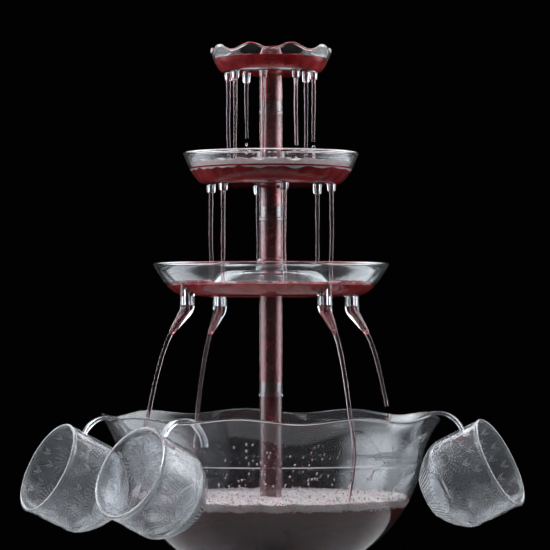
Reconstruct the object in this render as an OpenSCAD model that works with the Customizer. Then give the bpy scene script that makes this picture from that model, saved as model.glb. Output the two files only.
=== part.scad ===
// Table-top drinks fountain: a waved punch bowl on a motor base, a riser that pushes together
// from tube lengths, three tiers, four turning spouts and three cups hooked on the rim.
// The origin is on the table under the riser, +Z is up and -Y is the front.

/* [Base] */
// Height of the rubber feet
foot_h = 4; // [2:0.5:8]
// Radius of each rubber foot
foot_r = 8; // [5:0.5:10]
// Number of feet, and of cover screws between them
foot_count = 4; // [3:1:6]
// Outer radius of the base at its bottom edge
base_r = 88; // [84:0.5:110]
// Wall thickness of the base housing
base_wall = 3; // [2:0.1:4]
// Width of the housing's top edge round the bowl
base_lip_w = 4; // [3:0.5:8]
// Thickness of the deck under the bowl
deck_t = 3; // [2:0.1:5]
// Thickness of the bottom cover
cover_t = 3; // [2.5:0.1:5]
// How far the housing rises round the bowl, above the deck
cradle_h = 14; // [10:0.5:22]
// Clearance between the bowl and the housing that cradles it
cradle_gap = 0.8; // [0.4:0.1:1.5]
// Thickness of the soft ring that the bowl rests on
gasket_t = 2; // [1:0.5:4]
// Width of that soft ring
gasket_w = 10; // [6:0.5:14]
// Radius of the screw posts
post_r = 4.5; // [3.5:0.1:6]
// Thread radius of the screws
screw_r = 1.5; // [1:0.1:2]
// Length of the screws
screw_l = 10; // [7:0.5:14]

/* [Power] */
// Width of the flat panel at the back
panel_w = 60; // [54:1:70]
// Height of the flat panel
panel_h = 30; // [26:1:34]
// Depth of the panel's recess in the round wall
panel_depth = 8; // [7:0.5:12]
// Distance of the switch and of the inlet from the middle of the panel
panel_spread = 14; // [12:0.5:16]
// Width of the rocker
rocker_w = 12; // [8:0.5:14]
// Height of the rocker
rocker_h = 13; // [10:0.5:15]
// Angle that the rocker turns through
rocker_turn = 20; // [12:1:24]
// Bore radius of the power inlet
inlet_bore_r = 2.75; // [2:0.05:3.5]
// Depth of that bore
inlet_bore_l = 9; // [6:0.5:11]

/* [Drive] */
// Radius of the motor
motor_r = 18; // [14:0.5:22]
// Height of the motor
motor_h = 24; // [18:0.5:30]
// Room under the motor
motor_under = 3; // [1:0.5:6]
// Radius of the motor shaft
shaft_r = 2; // [1.5:0.1:3]
// Thickness of the motor bracket
bracket_t = 2; // [1.5:0.1:3]
// Radius of the drive hub
hub_r = 18; // [16:0.5:21]
// Thickness of the drive hub
hub_t = 6; // [5:0.5:8]
// Room above and below the drive hub
hub_room = 2.5; // [1.5:0.1:4]
// Number of magnets in the hub, and in the impeller
magnet_count = 6; // [4:1:6]
// Radius of each magnet
magnet_r = 3.5; // [2.5:0.1:4]
// Thickness of each magnet
magnet_t = 2.5; // [1.5:0.1:3]
// Radius of the circle on which the magnets lie
magnet_circle = 11; // [10:0.5:12]

/* [Pump] */
// Radius of the impeller
impeller_r = 17; // [16:0.5:20]
// Thickness of the impeller's disc
impeller_t = 3.4; // [3.2:0.1:5]
// Height of the impeller's vanes
vane_h = 7; // [4:0.5:10]
// Thickness of the vanes
vane_t = 1.6; // [1:0.1:2.4]
// Number of vanes
vane_count = 6; // [4:1:8]
// Radius of the impeller's pin
pin_r = 2; // [1.5:0.1:2.5]
// Room between the impeller and the pump cover
pump_room = 2.5; // [1.5:0.5:4]
// Wall thickness of the pump cover
pump_wall = 2.5; // [2:0.1:3.5]
// Width of the pump cover's foot flange
pump_flange_w = 5; // [3:0.5:6]
// Height of the sleeve that holds the riser
sleeve_h = 20; // [14:1:30]
// Number of intake slots
intake_count = 8; // [5:1:10]
// Width of each intake slot
intake_w = 5; // [3:0.5:6]

/* [Bowl] */
// Height from the flat underside to the middle of the wavy rim
bowl_h = 131; // [120:1:150]
// Radius that the flare reaches at the rim
bowl_rim_r = 142; // [136:0.5:160]
// Outer radius of the belly at its widest
bowl_belly_r = 128.5; // [118:0.5:134]
// Radius of the flat underside
bowl_foot_r = 37.5; // [34:0.5:45]
// Drop from the rim to the belly's widest level
belly_drop = 18.5; // [10:0.5:28]
// Drop from the rim to the start of the flare
flare_drop = 33; // [26:0.5:36]
// Drop from the rim to the moulded fill line
fill_drop = 37; // [34:0.5:60]
// Thickness of the bowl's wall
bowl_wall = 2.6; // [2:0.1:3.6]
// Thickness of the bowl's floor
bowl_floor_t = 3; // [2.5:0.1:4.5]
// Number of waves round the rim
rim_waves = 9; // [6:1:12]
// Height of the waves from valley to crest
rim_wave_h = 4; // [1:0.5:7]
// Azimuth of one crest
rim_crest_az = -20.5; // [-40:0.5:40]

/* [Riser] */
// Outside diameter of the riser tube
tube_od = 19; // [17:0.5:22]
// Inside diameter of the riser tube
tube_id = 12.5; // [10:0.5:14]
// Length of the spigot at each push-together joint
spigot_l = 12; // [8:0.5:15]
// How far the bead at each joint stands out
joint_bead = 0.6; // [0.3:0.1:1.2]
// Height of that bead
joint_bead_h = 2.4; // [1.5:0.1:4]
// Clearance of a push fit on the radius
fit_gap = 0.1; // [0.05:0.01:0.1]
// Height of the lowest joint above the bowl's floor
lower_joint_h = 146; // [125:1:170]
// Length of the bottom tier's stem below the tier
bottom_stem = 83.6; // [60:0.2:110]
// Length of tube between the bottom tier's collar and the joint above
middle_tube_l = 32; // [20:0.5:50]
// Length of the middle tier's stem below the tier
middle_stem = 29.4; // [24:0.2:50]
// Length of tube between the middle tier's collar and the joint above
upper_tube_l = 30; // [20:0.5:50]
// Length of the top tier's stem below the tier
top_stem = 34.6; // [26:0.2:50]

/* [Tiers] */
// Thickness of the tier walls
tier_wall = 2; // [1.6:0.1:2.6]
// Thickness of the tier floors
tier_floor_t = 2.2; // [1.8:0.1:3]
// Radius of the rolled edge on the two round tiers
tier_edge_r = 1.3; // [1.1:0.1:1.8]
// Rim radius of the bottom tier
bottom_rim_r = 98.8; // [92:0.2:112]
// Height of the bottom tier from its underside to its rim
bottom_h = 27; // [22:0.5:34]
// Width of the bottom tier's flat trough
trough_w = 4; // [2:0.5:8]
// Radius of the bottom tier's raised middle
plateau_r = 37; // [30:0.5:42]
// Height of the raised middle above the underside
plateau_h = 21.4; // [12:0.2:24]
// Width of the slope from the raised middle down to the trough
plateau_slope_w = 25; // [18:0.5:28]
// Height of the bottom tier's collar above its rim
bottom_collar_up = 5; // [3:0.5:10]
// Rim radius of the middle tier
middle_rim_r = 73.6; // [68:0.2:84]
// Flat radius under the middle tier
middle_flat_r = 50; // [44:0.5:56]
// Height of the middle tier from its underside to its rim
middle_h = 26.5; // [22:0.5:34]
// Height of the middle tier's collar above its rim
middle_collar_up = 3; // [2:0.5:10]
// Rim radius of the top tier
top_rim_r = 50.8; // [46:0.2:58]
// Flat radius under the top tier
top_flat_r = 36.5; // [32:0.5:40]
// Height of the top tier from its underside to the middle of its wavy rim
top_h = 19.4; // [16:0.2:26]
// Height of the riser's open mouth above the top rim
mouth_up = 1; // [0:0.5:4]
// Number of scallops round the top tier
scallop_count = 9; // [6:1:12]
// Height of the scallops from valley to crest
scallop_h = 5; // [2:0.5:7]
// Azimuth of one scallop's crest
scallop_az = -70; // [-90:1:90]
// Wall thickness of the collars round the riser
collar_wall = 2.5; // [2:0.1:4]

/* [Nozzles] */
// Number of nozzles under the top tier
top_nozzles = 8; // [4:1:10]
// Radius of the circle of top nozzles
top_nozzle_circle = 36.4; // [30:0.2:38]
// Azimuth of one top nozzle
top_nozzle_az = 260; // [225:1:290]
// Outside radius of a top nozzle
top_nozzle_r = 3.35; // [2.6:0.05:4]
// Number of nozzles under the middle tier
middle_nozzles = 6; // [3:1:8]
// Radius of the circle of middle nozzles
middle_nozzle_circle = 53.3; // [46:0.1:56]
// Azimuth of one middle nozzle
middle_nozzle_az = 282; // [255:1:310]
// Outside radius of a middle nozzle
middle_nozzle_r = 3.75; // [2.8:0.05:4.5]
// Length of a nozzle below its tier
nozzle_l = 5.4; // [3:0.2:9]
// Bore radius of a nozzle
nozzle_bore_r = 1.8; // [1.2:0.05:2.2]

/* [Spouts] */
// Distance of the spouts' axes inside the bottom tier's rim
spout_inset = 16.8; // [14:0.2:22]
// Azimuth of the rear right spout
spout_az = 32.6; // [0:0.2:60]
// Outside radius of a spout's hub
spout_hub_r = 6.05; // [5.4:0.05:7]
// Length of a spout's hub
spout_hub_l = 11; // [9.5:0.5:16]
// Length of a spout's tapered nozzle from the elbow
spout_nozzle_l = 25; // [16:0.5:34]
// Angle of the nozzle from the vertical
spout_lean = 39; // [20:1:60]
// Radius of the nozzle at the elbow
spout_root_r = 5; // [4:0.05:5.3]
// Radius of the nozzle at its tip
spout_tip_r = 2.4; // [2.1:0.05:3]
// Radius of the nipple that a spout plugs on
nipple_r = 4; // [3.5:0.05:4.2]
// Length of that nipple
nipple_l = 8; // [6:0.5:9]
// Bore radius of nipple and spout
spout_bore_r = 1.8; // [1.2:0.05:2]

/* [Cups] */
// Outer radius of a cup at its mouth
cup_r = 39; // [35:0.5:42]
// Height of a cup
cup_h = 66; // [62:0.5:72]
// Wall thickness of a cup
cup_wall = 2; // [1.5:0.1:2.6]
// Thickness of a cup's floor
cup_floor_t = 3; // [2:0.1:5]
// Radius of a cup's flat foot
cup_foot_r = 20.6; // [17:0.2:24]
// Height of the rounded part above the foot
cup_round_h = 26; // [18:0.5:32]
// How much wider the mouth is than the top of the rounded part
cup_draft = 0.4; // [0:0.1:1.5]
// Rise of a hanging cup's axis, from foot to mouth
cup_tilt = 26; // [20:0.5:32]
// Smallest radius of the hook handle's arch
hook_r = 22.7; // [20:0.1:25]
// Width of the hook handle
hook_w = 6.8; // [5:0.1:9]
// Thickness of the hook handle
hook_t = 2.8; // [2:0.1:4]
// Distance from the mouth to where the handle meets the cup
hook_seat = 18; // [14:0.5:22]
// Angle that the handle sweeps from the cup to its tip
hook_sweep = 152; // [135:1:158]
// Clearance between the handle and the bowl's rim
hook_gap = 0.35; // [0.3:0.05:0.8]
// Clearance between a cup's foot and the bowl
cup_bowl_gap = 3; // [1.5:0.1:6]
// Azimuth of the right cup's hook
cup_right_az = -14.5; // [-40:0.5:10]
// Turn of the right cup on the rim
cup_right_yaw = -6; // [-20:0.5:10]
// Azimuth of the left cup's hook
cup_left_az = 199.5; // [185:0.5:206]
// Turn of the left cup on the rim
cup_left_yaw = 8; // [-10:0.5:12]
// Distance between the hooks of the two left cups, straight across
cup_spacing = 99.2; // [76:0.2:120]
// Turn of the front left cup on the rim
cup_front_yaw = -21; // [-24:0.5:5]

/* [Hidden] */
$fn = 96;

// Small overlap that fuses two shapes of one solid, and a cut's reach past a face
weld = 0.4;
reach = 1;
// Length over which a slope is measured
slope_step = 0.05;
// Facets of a round stretch, and steps of one wave
curve_steps = 14;
wave_steps = 8;
// Steps by which the hook's arch opens, and the most that its centre may lie out of the lip's line
arch_step = 0.5;
arch_tries = 160;
hook_lean = 0.5;
// Exponents of the curves: bowl flare, tier wall, base waist
flare_curve = 1.75;
tier_curve = 2.5;
waist_curve = 1.6;

clear = [0.86, 0.92, 0.96, 0.45];
white = [0.9, 0.9, 0.9];
dark = [0.12, 0.12, 0.13];
steel = [0.72, 0.73, 0.75];
copper_grey = [0.55, 0.55, 0.57];

// Heights of the base, from the table up
cover_top = foot_h + cover_t;
motor_top = cover_top + motor_under + motor_h;
bracket_top = motor_top + bracket_t;
hub_z = bracket_top + hub_room;
deck_z = hub_z + hub_t + hub_room + deck_t;
bowl_z = deck_z + gasket_t;
cradle_z = deck_z + cradle_h;
post_circle = base_r - base_wall - post_r * 3;
boss_circle = hub_r + hub_room + post_r;
boss_count = 3;
boss_az = 180 / boss_count;
head_r = screw_r * 2;
// Clearance between a screw post and the cover that is drawn up to it
post_seat = 0.3;
head_h = screw_r * 1.2;
inlet_wall = 1.6;
inlet_flange = 2;
inlet_pin_r = 0.9;

// Bowl: an ellipse up to the belly, and a flare that is added above flare_z
rim_z = bowl_z + bowl_h;
belly_z = rim_z - belly_drop;
flare_z = rim_z - flare_drop;
fill_z = rim_z - fill_drop;
fill_bead = 0.6;
fill_bead_h = 1.6;
floor_z = bowl_z + bowl_floor_t;
belly_depth = (belly_z - bowl_z) / sqrt(1 - pow(bowl_foot_r / bowl_belly_r, 2));
function belly_r(z) =
    bowl_belly_r * sqrt(max(0, 1 - pow((belly_z - min(z, belly_z)) / belly_depth, 2)));
function flare_at(z) = max(0, (z - flare_z) / flare_drop);
function bowl_r(z) = belly_r(z) + (bowl_rim_r - bowl_belly_r) * pow(flare_at(z), flare_curve);
function bowl_lean(z) = atan((bowl_r(z + slope_step) - bowl_r(z)) / slope_step);
// Point at a distance outside the bowl's outer face, square to it; negative is inside
function beside_bowl(z, off) = [bowl_r(z) + off * cos(bowl_lean(z)), z - off * sin(bowl_lean(z))];
// Heights between two levels, closer together near the lower one
function levels(low, high, curve) =
    [for (i = [0 : curve_steps]) low + (high - low) * pow(i / curve_steps, curve)];

// Rolled lip of the bowl, centred in the wall's top edge
lip_r = bowl_wall / 2;
lip_z = rim_z - lip_r;
lip = beside_bowl(lip_z, -lip_r);
cup_front_az = cup_left_az + 2 * asin(cup_spacing / 2 / lip[0]);
function wave(az) = rim_wave_h / 2 * cos(rim_waves * (az - rim_crest_az));

// Heights of the pump and riser
tube_r = tube_od / 2;
bore_r = tube_id / 2;
spigot_r = (tube_r + bore_r - fit_gap) / 2;
socket_r = spigot_r + fit_gap;
run_gap = 0.3;
pin_boss_h = 1.2;
impeller_hub_t = 2.4;
impeller_z = floor_z + pin_boss_h + run_gap;
vane_top = impeller_z + impeller_t + vane_h;
chamber_r = impeller_r + pump_room;
pump_top = vane_top + pump_room + pump_wall;
lower_joint_z = floor_z + lower_joint_h;
bottom_z = lower_joint_z + bottom_stem;
bottom_collar_z = bottom_z + bottom_h + bottom_collar_up;
middle_joint_z = bottom_collar_z + middle_tube_l;
middle_z = middle_joint_z + middle_stem;
middle_collar_z = middle_z + middle_h + middle_collar_up;
upper_joint_z = middle_collar_z + upper_tube_l;
top_z = upper_joint_z + top_stem;
mouth_z = top_z + top_h + mouth_up;
collar_r = tube_r + collar_wall;
spout_circle = bottom_rim_r - spout_inset;
bottom_flat_r = plateau_r + plateau_slope_w + trough_w;

// Cup handle, for an arch of radius h: the arch's centre is seen from the lip's centre, in the handle's plane
foot_across = cup_r - cup_foot_r;
function reach_to_lip(h) = h - hook_t / 2 - lip_r - hook_gap;
function foot_from_arch(h) = h + hook_seat - cup_h;
function foot_edge_z(h) =
    lip[1] - reach_to_lip(h) + foot_from_arch(h) * sin(cup_tilt) - foot_across * cos(cup_tilt);
// How far out the foot holds the arch's centre, and how far out that centre then lies
function foot_holds(h) = bowl_r(foot_edge_z(h)) + cup_bowl_gap - lip[0]
    - foot_from_arch(h) * cos(cup_tilt) - foot_across * sin(cup_tilt);
function centre_out(h) = max(0, foot_holds(h));
function centre_down(h) = sqrt(max(0, pow(reach_to_lip(h), 2) - pow(centre_out(h), 2)));
// The hook passes clear of the bowl's inner face from the lip down to the hook's tip
function clears_wall(h) = len([
    for (i = [1 : curve_steps])
    let (
        down = centre_down(h) * i / curve_steps,
        face = beside_bowl(lip[1] - down, -bowl_wall),
        side = (lip[0] - face[0]) / cos(cup_front_yaw) + centre_out(h)
    )
    if (norm([side, centre_down(h) - down]) > h - hook_t / 2 - hook_gap / 2) i
]) == 0;
function over_lip(h) = centre_out(h) < reach_to_lip(h) * hook_lean;
// The arch starts from its set radius, and opens until it passes over a wider or a deeper rim
arch_r = [
    for (k = [0 : arch_tries])
    let (h = hook_r + k * arch_step)
    if (over_lip(h) && clears_wall(h)) h
][0];
foot_along = foot_from_arch(arch_r);
arch_out = centre_out(arch_r);
arch_down = centre_down(arch_r);

// Upright cylinder and cone from a height up

module rod(z, r, h) { translate([0, 0, z]) cylinder(r = r, h = h); }
module cone(z, low_r, high_r, h) { translate([0, 0, z]) cylinder(r1 = low_r, r2 = high_r, h = h); }

// Base

function base_out(z) =
    let (top_r = bowl_r(cradle_z) + cradle_gap + base_lip_w)
    top_r + (base_r - top_r) * pow((cradle_z - z) / (cradle_z - foot_h), waist_curve);

// The cover lies inside the leaning wall, and the feet lie inside the cover's edge
cover_r = base_out(cover_top) - base_wall - cradle_gap;
foot_inset = 2;
foot_circle = cover_r - foot_inset - foot_r;

module base_solid() {
    rotate_extrude() polygon(concat(
        [[0, foot_h]],
        [for (z = levels(foot_h, cradle_z, 1)) [base_out(z), z]],
        [[0, cradle_z]]
    ));
}

module bowl_seat() {
    rotate_extrude() polygon(concat(
        [[0, deck_z], [bowl_foot_r, deck_z]],
        [for (z = levels(bowl_z, cradle_z + reach, 1)) beside_bowl(z, cradle_gap)],
        [[0, cradle_z + reach]]
    ));
}

module base_hollow() {
    shell = cradle_gap + deck_t;
    roof_z = beside_bowl(cradle_z - deck_t, shell)[1];
    rotate_extrude() polygon(concat(
        [[0, foot_h - reach], [base_r - base_wall, foot_h - reach]],
        [for (z = levels(foot_h, roof_z, 1)) [base_out(z) - base_wall, z]],
        [for (i = [curve_steps : -1 : 0])
            beside_bowl(bowl_z + (cradle_z - deck_t - bowl_z) * i / curve_steps, shell)],
        [[bowl_foot_r, deck_z - deck_t], [0, deck_z - deck_t]]
    ));
}

module around(count, radius, start) {
    for (i = [0 : count - 1]) rotate([0, 0, start + 360 * i / count]) translate([radius, 0, 0]) children();
}

// A screw post lies half a pitch from each foot, clear of the panel at the back
module at_posts() { around(foot_count, post_circle, 180 / foot_count) children(); }
module at_feet() { around(foot_count, foot_circle, 0) children(); }
module at_bosses() { around(boss_count, boss_circle, boss_az) children(); }

module screw(head_z) {
    cone(head_z, head_r, screw_r, head_h);
    rod(head_z, screw_r, screw_l);
}

module screw_hole(head_z) {
    rod(head_z - reach, head_r + fit_gap, reach);
    cone(head_z, head_r + fit_gap, screw_r + fit_gap, head_h);
    rod(head_z, screw_r + fit_gap, screw_l + reach);
}

panel_z = cover_top + panel_h / 2 + base_wall + reach;
panel_y = base_out(panel_z) - panel_depth;

module panel_box(wall, from_y) {
    translate([-panel_w / 2 - wall, from_y, panel_z - panel_h / 2 - wall])
        cube([panel_w + wall * 2, base_r, panel_h + wall * 2]);
}

module at_switch() { translate([-panel_spread, panel_y, panel_z]) children(); }
module at_inlet() { translate([panel_spread, panel_y, panel_z]) rotate([-90, 0, 0]) children(); }

module base_housing() {
    color(white) difference() {
        base_solid();
        bowl_seat();
        difference() {
            base_hollow();
            at_posts() rod(cover_top + post_seat, post_r, cradle_z);
            at_bosses() rod(bracket_top, post_r, deck_z);
            panel_box(base_wall, panel_y - base_wall);
        }
        panel_box(0, panel_y);
        at_posts() screw_hole(foot_h);
        at_bosses() screw_hole(motor_top);
        at_switch() cube([bezel_w, panel_depth * 3, bezel_h] + [2, 0, 2] * fit_gap, center = true);
        at_inlet() cylinder(r = inlet_bore_r + inlet_wall + fit_gap, h = panel_depth * 3, center = true);
    }
}

module base_cover() {
    color(white) difference() {
        rod(foot_h, cover_r, cover_t);
        at_posts() screw_hole(foot_h);
    }
}

module cover_screws() { color(steel) at_posts() screw(foot_h); }

module rubber_feet() { color(dark) at_feet() cylinder(r1 = foot_r - reach, r2 = foot_r, h = foot_h); }

module bowl_gasket() {
    color(dark) translate([0, 0, deck_z]) difference() {
        cylinder(r = bowl_foot_r - reach, h = gasket_t);
        rod(-reach, bowl_foot_r - reach - gasket_w, gasket_t + reach * 2);
    }
}

// Power panel

rocker_room = 0.5;
bezel_wall = 2;
bezel_flange = 2.5;
bezel_flange_t = 1.8;
bezel_w = rocker_w + (rocker_room + bezel_wall) * 2;
swing_r = rocker_h / 2 + rocker_room * 2;
bezel_h = (swing_r + bezel_wall) * 2;
trunnion_r = 1.2;
// The rocker's pivot lies a little inside the panel's face
pivot_in = 1.2;

module switch_bezel() {
    color(dark) at_switch() difference() {
        union() {
            translate([-bezel_w / 2, -swing_r - pivot_in - bezel_wall, -bezel_h / 2])
                cube([bezel_w, swing_r + pivot_in + bezel_wall + weld, bezel_h]);
            translate([-bezel_w / 2 - bezel_flange, 0, -bezel_h / 2 - bezel_flange])
                cube([bezel_w + bezel_flange * 2, bezel_flange_t, bezel_h + bezel_flange * 2]);
        }
        translate([-rocker_w / 2 - rocker_room, -swing_r - pivot_in, -swing_r])
            cube([rocker_w + rocker_room * 2, swing_r * 3, swing_r * 2]);
        translate([0, -pivot_in, 0]) rotate([0, 90, 0])
            cylinder(r = trunnion_r + fit_gap, h = bezel_w - bezel_wall, center = true);
    }
}

module switch_rocker() {
    face = rocker_h / 2 - rocker_room * 2;
    proud = pivot_in + bezel_flange_t;
    color(dark) at_switch() translate([0, -pivot_in, 0]) {
        rotate([-rocker_turn / 2, 0, 0]) rotate([0, -90, 0]) linear_extrude(rocker_w, center = true)
            polygon([
                [-face, -proud], [-face, proud], [0, proud / 2], [face, proud], [face, -proud]
            ]);
        rotate([0, 90, 0]) cylinder(r = trunnion_r, h = bezel_w - bezel_wall - rocker_room, center = true);
    }
}

module power_inlet() {
    barrel_r = inlet_bore_r + inlet_wall;
    color(dark) at_inlet() {
        difference() {
            union() {
                cylinder(r = barrel_r + inlet_flange, h = inlet_flange);
                rod(-inlet_bore_l, barrel_r, inlet_bore_l + weld);
            }
            rod(inlet_flange - inlet_bore_l, inlet_bore_r, inlet_bore_l + reach);
        }
        rod(inlet_flange - inlet_bore_l - weld, inlet_pin_r, inlet_bore_l);
    }
}

// Drive

module motor_can() {
    shaft_in = motor_h / 2;
    color(copper_grey) difference() {
        rod(motor_top - motor_h, motor_r, motor_h);
        rod(motor_top - shaft_in, shaft_r + fit_gap, shaft_in + reach);
    }
}

module motor_bracket() {
    color(steel) difference() {
        translate([0, 0, motor_top]) union() {
            cylinder(r = boss_circle - post_r / 2, h = bracket_t);
            at_bosses() cylinder(r = post_r, h = bracket_t);
        }
        rod(motor_top - reach, shaft_r * 2, bracket_t + reach * 2);
        at_bosses() screw_hole(motor_top);
    }
}

module bracket_screws() { color(steel) at_bosses() screw(motor_top); }

module motor_shaft() {
    shaft_in = motor_h / 2 - run_gap;
    color(steel) rod(motor_top - shaft_in, shaft_r, shaft_in + bracket_t + hub_room + hub_t);
}

module at_magnets() { around(magnet_count, magnet_circle, 0) children(); }

module drive_hub() {
    color(white) difference() {
        rod(hub_z, hub_r, hub_t);
        rod(hub_z - reach, shaft_r + fit_gap / 2, hub_t + reach * 2);
        at_magnets() rod(hub_z + hub_t - magnet_t, magnet_r + fit_gap / 2, magnet_t + reach);
    }
}

module drive_magnets() {
    color(steel) at_magnets() rod(hub_z + hub_t - magnet_t, magnet_r, magnet_t);
}

// Bowl and pump

// Band of one cross-section round the axis, each point lifted by its share of a wave
module wavy_band(section, share, waves, height, crest_az) {
    steps = waves * wave_steps;
    n = len(section);
    points = [
        for (i = [0 : steps - 1])
        let (az = crest_az + 360 * i / steps, lift = height / 2 * cos(360 * i / wave_steps))
        for (k = [0 : n - 1])
        [section[k][0] * cos(az), section[k][0] * sin(az), section[k][1] + lift * share[k]]
    ];
    faces = [
        for (i = [0 : steps - 1])
        for (k = [0 : n - 1])
        let (j = (i + 1) % steps, m = (k + 1) % n)
        each [[i * n + k, i * n + m, j * n + m], [i * n + k, j * n + m, j * n + k]]
    ];
    polyhedron(points, faces);
}

module bowl_lower() {
    seam_z = fill_z + fill_bead_h / 2;
    inner = [for (z = levels(bowl_z, seam_z, waist_curve)) beside_bowl(z, -bowl_wall)];
    rotate_extrude() polygon(concat(
        [[0, bowl_z]],
        [for (z = levels(bowl_z, fill_z - fill_bead_h / 2, waist_curve)) beside_bowl(z, 0)],
        [beside_bowl(fill_z - fill_bead_h / 4, fill_bead), beside_bowl(fill_z + fill_bead_h / 4, fill_bead)],
        [[bowl_r(seam_z) + fill_bead / 2, seam_z], [bowl_r(seam_z) - bowl_wall, seam_z]],
        [for (i = [curve_steps - 1 : -1 : 0]) if (inner[i][1] > floor_z + weld) inner[i]],
        [[bowl_foot_r, floor_z], [0, floor_z]]
    ));
}

module bowl_rim() {
    band_steps = 4;
    band_z = [for (i = [0 : band_steps]) fill_z + (lip_z - fill_z) * i / band_steps];
    lip_lean = bowl_lean(lip_z);
    section = concat(
        [for (z = band_z) beside_bowl(z, 0)],
        [for (a = [45 : 45 : 135]) lip + lip_r * [cos(a - lip_lean), sin(a - lip_lean)]],
        [for (i = [band_steps : -1 : 0]) beside_bowl(band_z[i], fill_bead / 3 - bowl_wall)]
    );
    share = [for (p = section) min(1, flare_at(p[1]))];
    wavy_band(section, share, rim_waves, rim_wave_h, rim_crest_az);
}

module bowl() {
    color(clear) difference() {
        union() {
            bowl_lower();
            bowl_rim();
            rod(floor_z - weld, pin_r * 2, pin_boss_h + weld);
        }
        rod(bowl_z + bowl_floor_t / 2, pin_r + fit_gap / 2, bowl_floor_t);
    }
}

module impeller_pin() {
    color(steel) rod(bowl_z + bowl_floor_t / 2, pin_r, vane_top + pump_room / 2 - bowl_z - bowl_floor_t / 2);
}

module impeller() {
    hub = pin_r + impeller_hub_t;
    color(white) difference() {
        union() {
            rod(impeller_z, impeller_r, impeller_t);
            rod(impeller_z, hub, vane_top - impeller_z);
            around(vane_count, 0, 0) translate([pin_r + vane_t, -vane_t / 2, impeller_z + impeller_t - weld])
                cube([impeller_r - pin_r - vane_t * 2, vane_t, vane_h + weld]);
        }
        rod(impeller_z - reach, pin_r + fit_gap, vane_top - impeller_z + reach * 2);
        at_magnets() rod(impeller_z - reach, magnet_r + fit_gap / 2, magnet_t + reach);
    }
}

module impeller_magnets() {
    color(steel) at_magnets() rod(impeller_z, magnet_r, magnet_t);
}

module pump_cover() {
    outer_r = chamber_r + pump_wall;
    sleeve_r = tube_r + collar_wall;
    roof_z = pump_top - pump_wall;
    color(clear) difference() {
        union() {
            rod(floor_z, outer_r + pump_flange_w, pump_wall);
            rod(floor_z, outer_r, pump_top - floor_z - pump_wall);
            cone(roof_z - weld, outer_r, sleeve_r, pump_wall + weld);
            rod(roof_z, sleeve_r, pump_wall + sleeve_h);
        }
        rod(floor_z - reach, chamber_r, roof_z - floor_z + reach);
        cylinder(r = bore_r, h = mouth_z);
        rod(pump_top, tube_r + fit_gap, sleeve_h + reach);
        around(intake_count, chamber_r, 0)
            translate([-pump_wall, -intake_w / 2, floor_z + pump_wall + reach])
            cube([pump_wall * 3, intake_w, roof_z - floor_z - pump_wall - reach * 3]);
    }
}

// Riser

module tube_length(from_z, to_z, spigot_below) {
    color(clear) difference() {
        union() {
            rod(from_z, tube_r, to_z - from_z);
            rod(from_z - spigot_below, spigot_r, to_z + spigot_l - from_z + spigot_below);
        }
        rod(from_z - spigot_below - reach, bore_r, to_z + spigot_l - from_z + spigot_below + reach * 2);
    }
}

module lower_tube() { tube_length(pump_top, lower_joint_z, 0); }
module middle_tube() { tube_length(bottom_collar_z, middle_joint_z, spigot_l); }
module upper_tube() { tube_length(middle_collar_z, upper_joint_z, spigot_l); }

// Stem of a tier from a joint up, with the joint's bead at its lower end
module stem(joint_z, end_z) {
    rod(joint_z, tube_r, end_z - joint_z);
    rod(joint_z, tube_r + joint_bead, joint_bead_h);
}

// Way for the drink through a tier: the bore and the socket at the joint below
module stem_way(joint_z, end_z) {
    rod(joint_z - reach, bore_r, end_z - joint_z + reach * 2);
    rod(joint_z - reach, socket_r, spigot_l + run_gap + reach);
}

module collar_socket(collar_z) {
    rod(collar_z - spigot_l - run_gap, socket_r, spigot_l + run_gap + reach);
}

// Tiers

// Height of a tier's outer face above its underside
function wall_rise(r, flat_r, rim_r, h) = h * pow(max(0, (r - flat_r) / (rim_r - flat_r)), tier_curve);

function tier_outer(flat_r, rim_r, h, last) = [
    for (i = [0 : curve_steps]) let (s = last * i / curve_steps)
    [flat_r + (rim_r - flat_r) * s, h * pow(s, tier_curve)]
];

function tier_inner(flat_r, rim_r, h, last) = [
    for (i = [curve_steps : -1 : 0]) let (s = last * i / curve_steps, start = flat_r - tier_wall / 2)
    [start + (rim_r - tier_wall - start) * s, tier_floor_t + (h - tier_floor_t) * pow(s, tier_curve)]
];

module tier_edge(rim_r, h) {
    rotate_extrude() translate([rim_r - tier_wall / 2, h]) circle(r = tier_edge_r, $fn = 24);
}

module tier_dish(flat_r, rim_r, h, last) {
    rotate_extrude() polygon(concat(
        [[0, 0]], tier_outer(flat_r, rim_r, h, last), tier_inner(flat_r, rim_r, h, last), [[0, tier_floor_t]]
    ));
}

// Raised middle of the bottom tier, in a smooth slope down to its trough
function plateau_top(r) =
    let (t = min(1, max(0, (r - plateau_r) / plateau_slope_w)))
    tier_floor_t + (plateau_h - tier_floor_t) * (1 + cos(180 * t)) / 2;

module bottom_dish() {
    radii = [for (i = [0 : curve_steps]) plateau_r + plateau_slope_w * i / curve_steps];
    rotate_extrude() polygon(concat(
        [[0, plateau_h - tier_floor_t]],
        [for (r = radii) [r, plateau_top(r) - tier_floor_t]],
        tier_outer(bottom_flat_r, bottom_rim_r, bottom_h, 1),
        tier_inner(bottom_flat_r, bottom_rim_r, bottom_h, 1),
        [for (i = [curve_steps : -1 : 0]) [radii[i], plateau_top(radii[i])]],
        [[0, plateau_h]]
    ));
}

spout_count = 4;

module at_spouts() { around(spout_count, spout_circle, spout_az) children(); }

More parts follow.
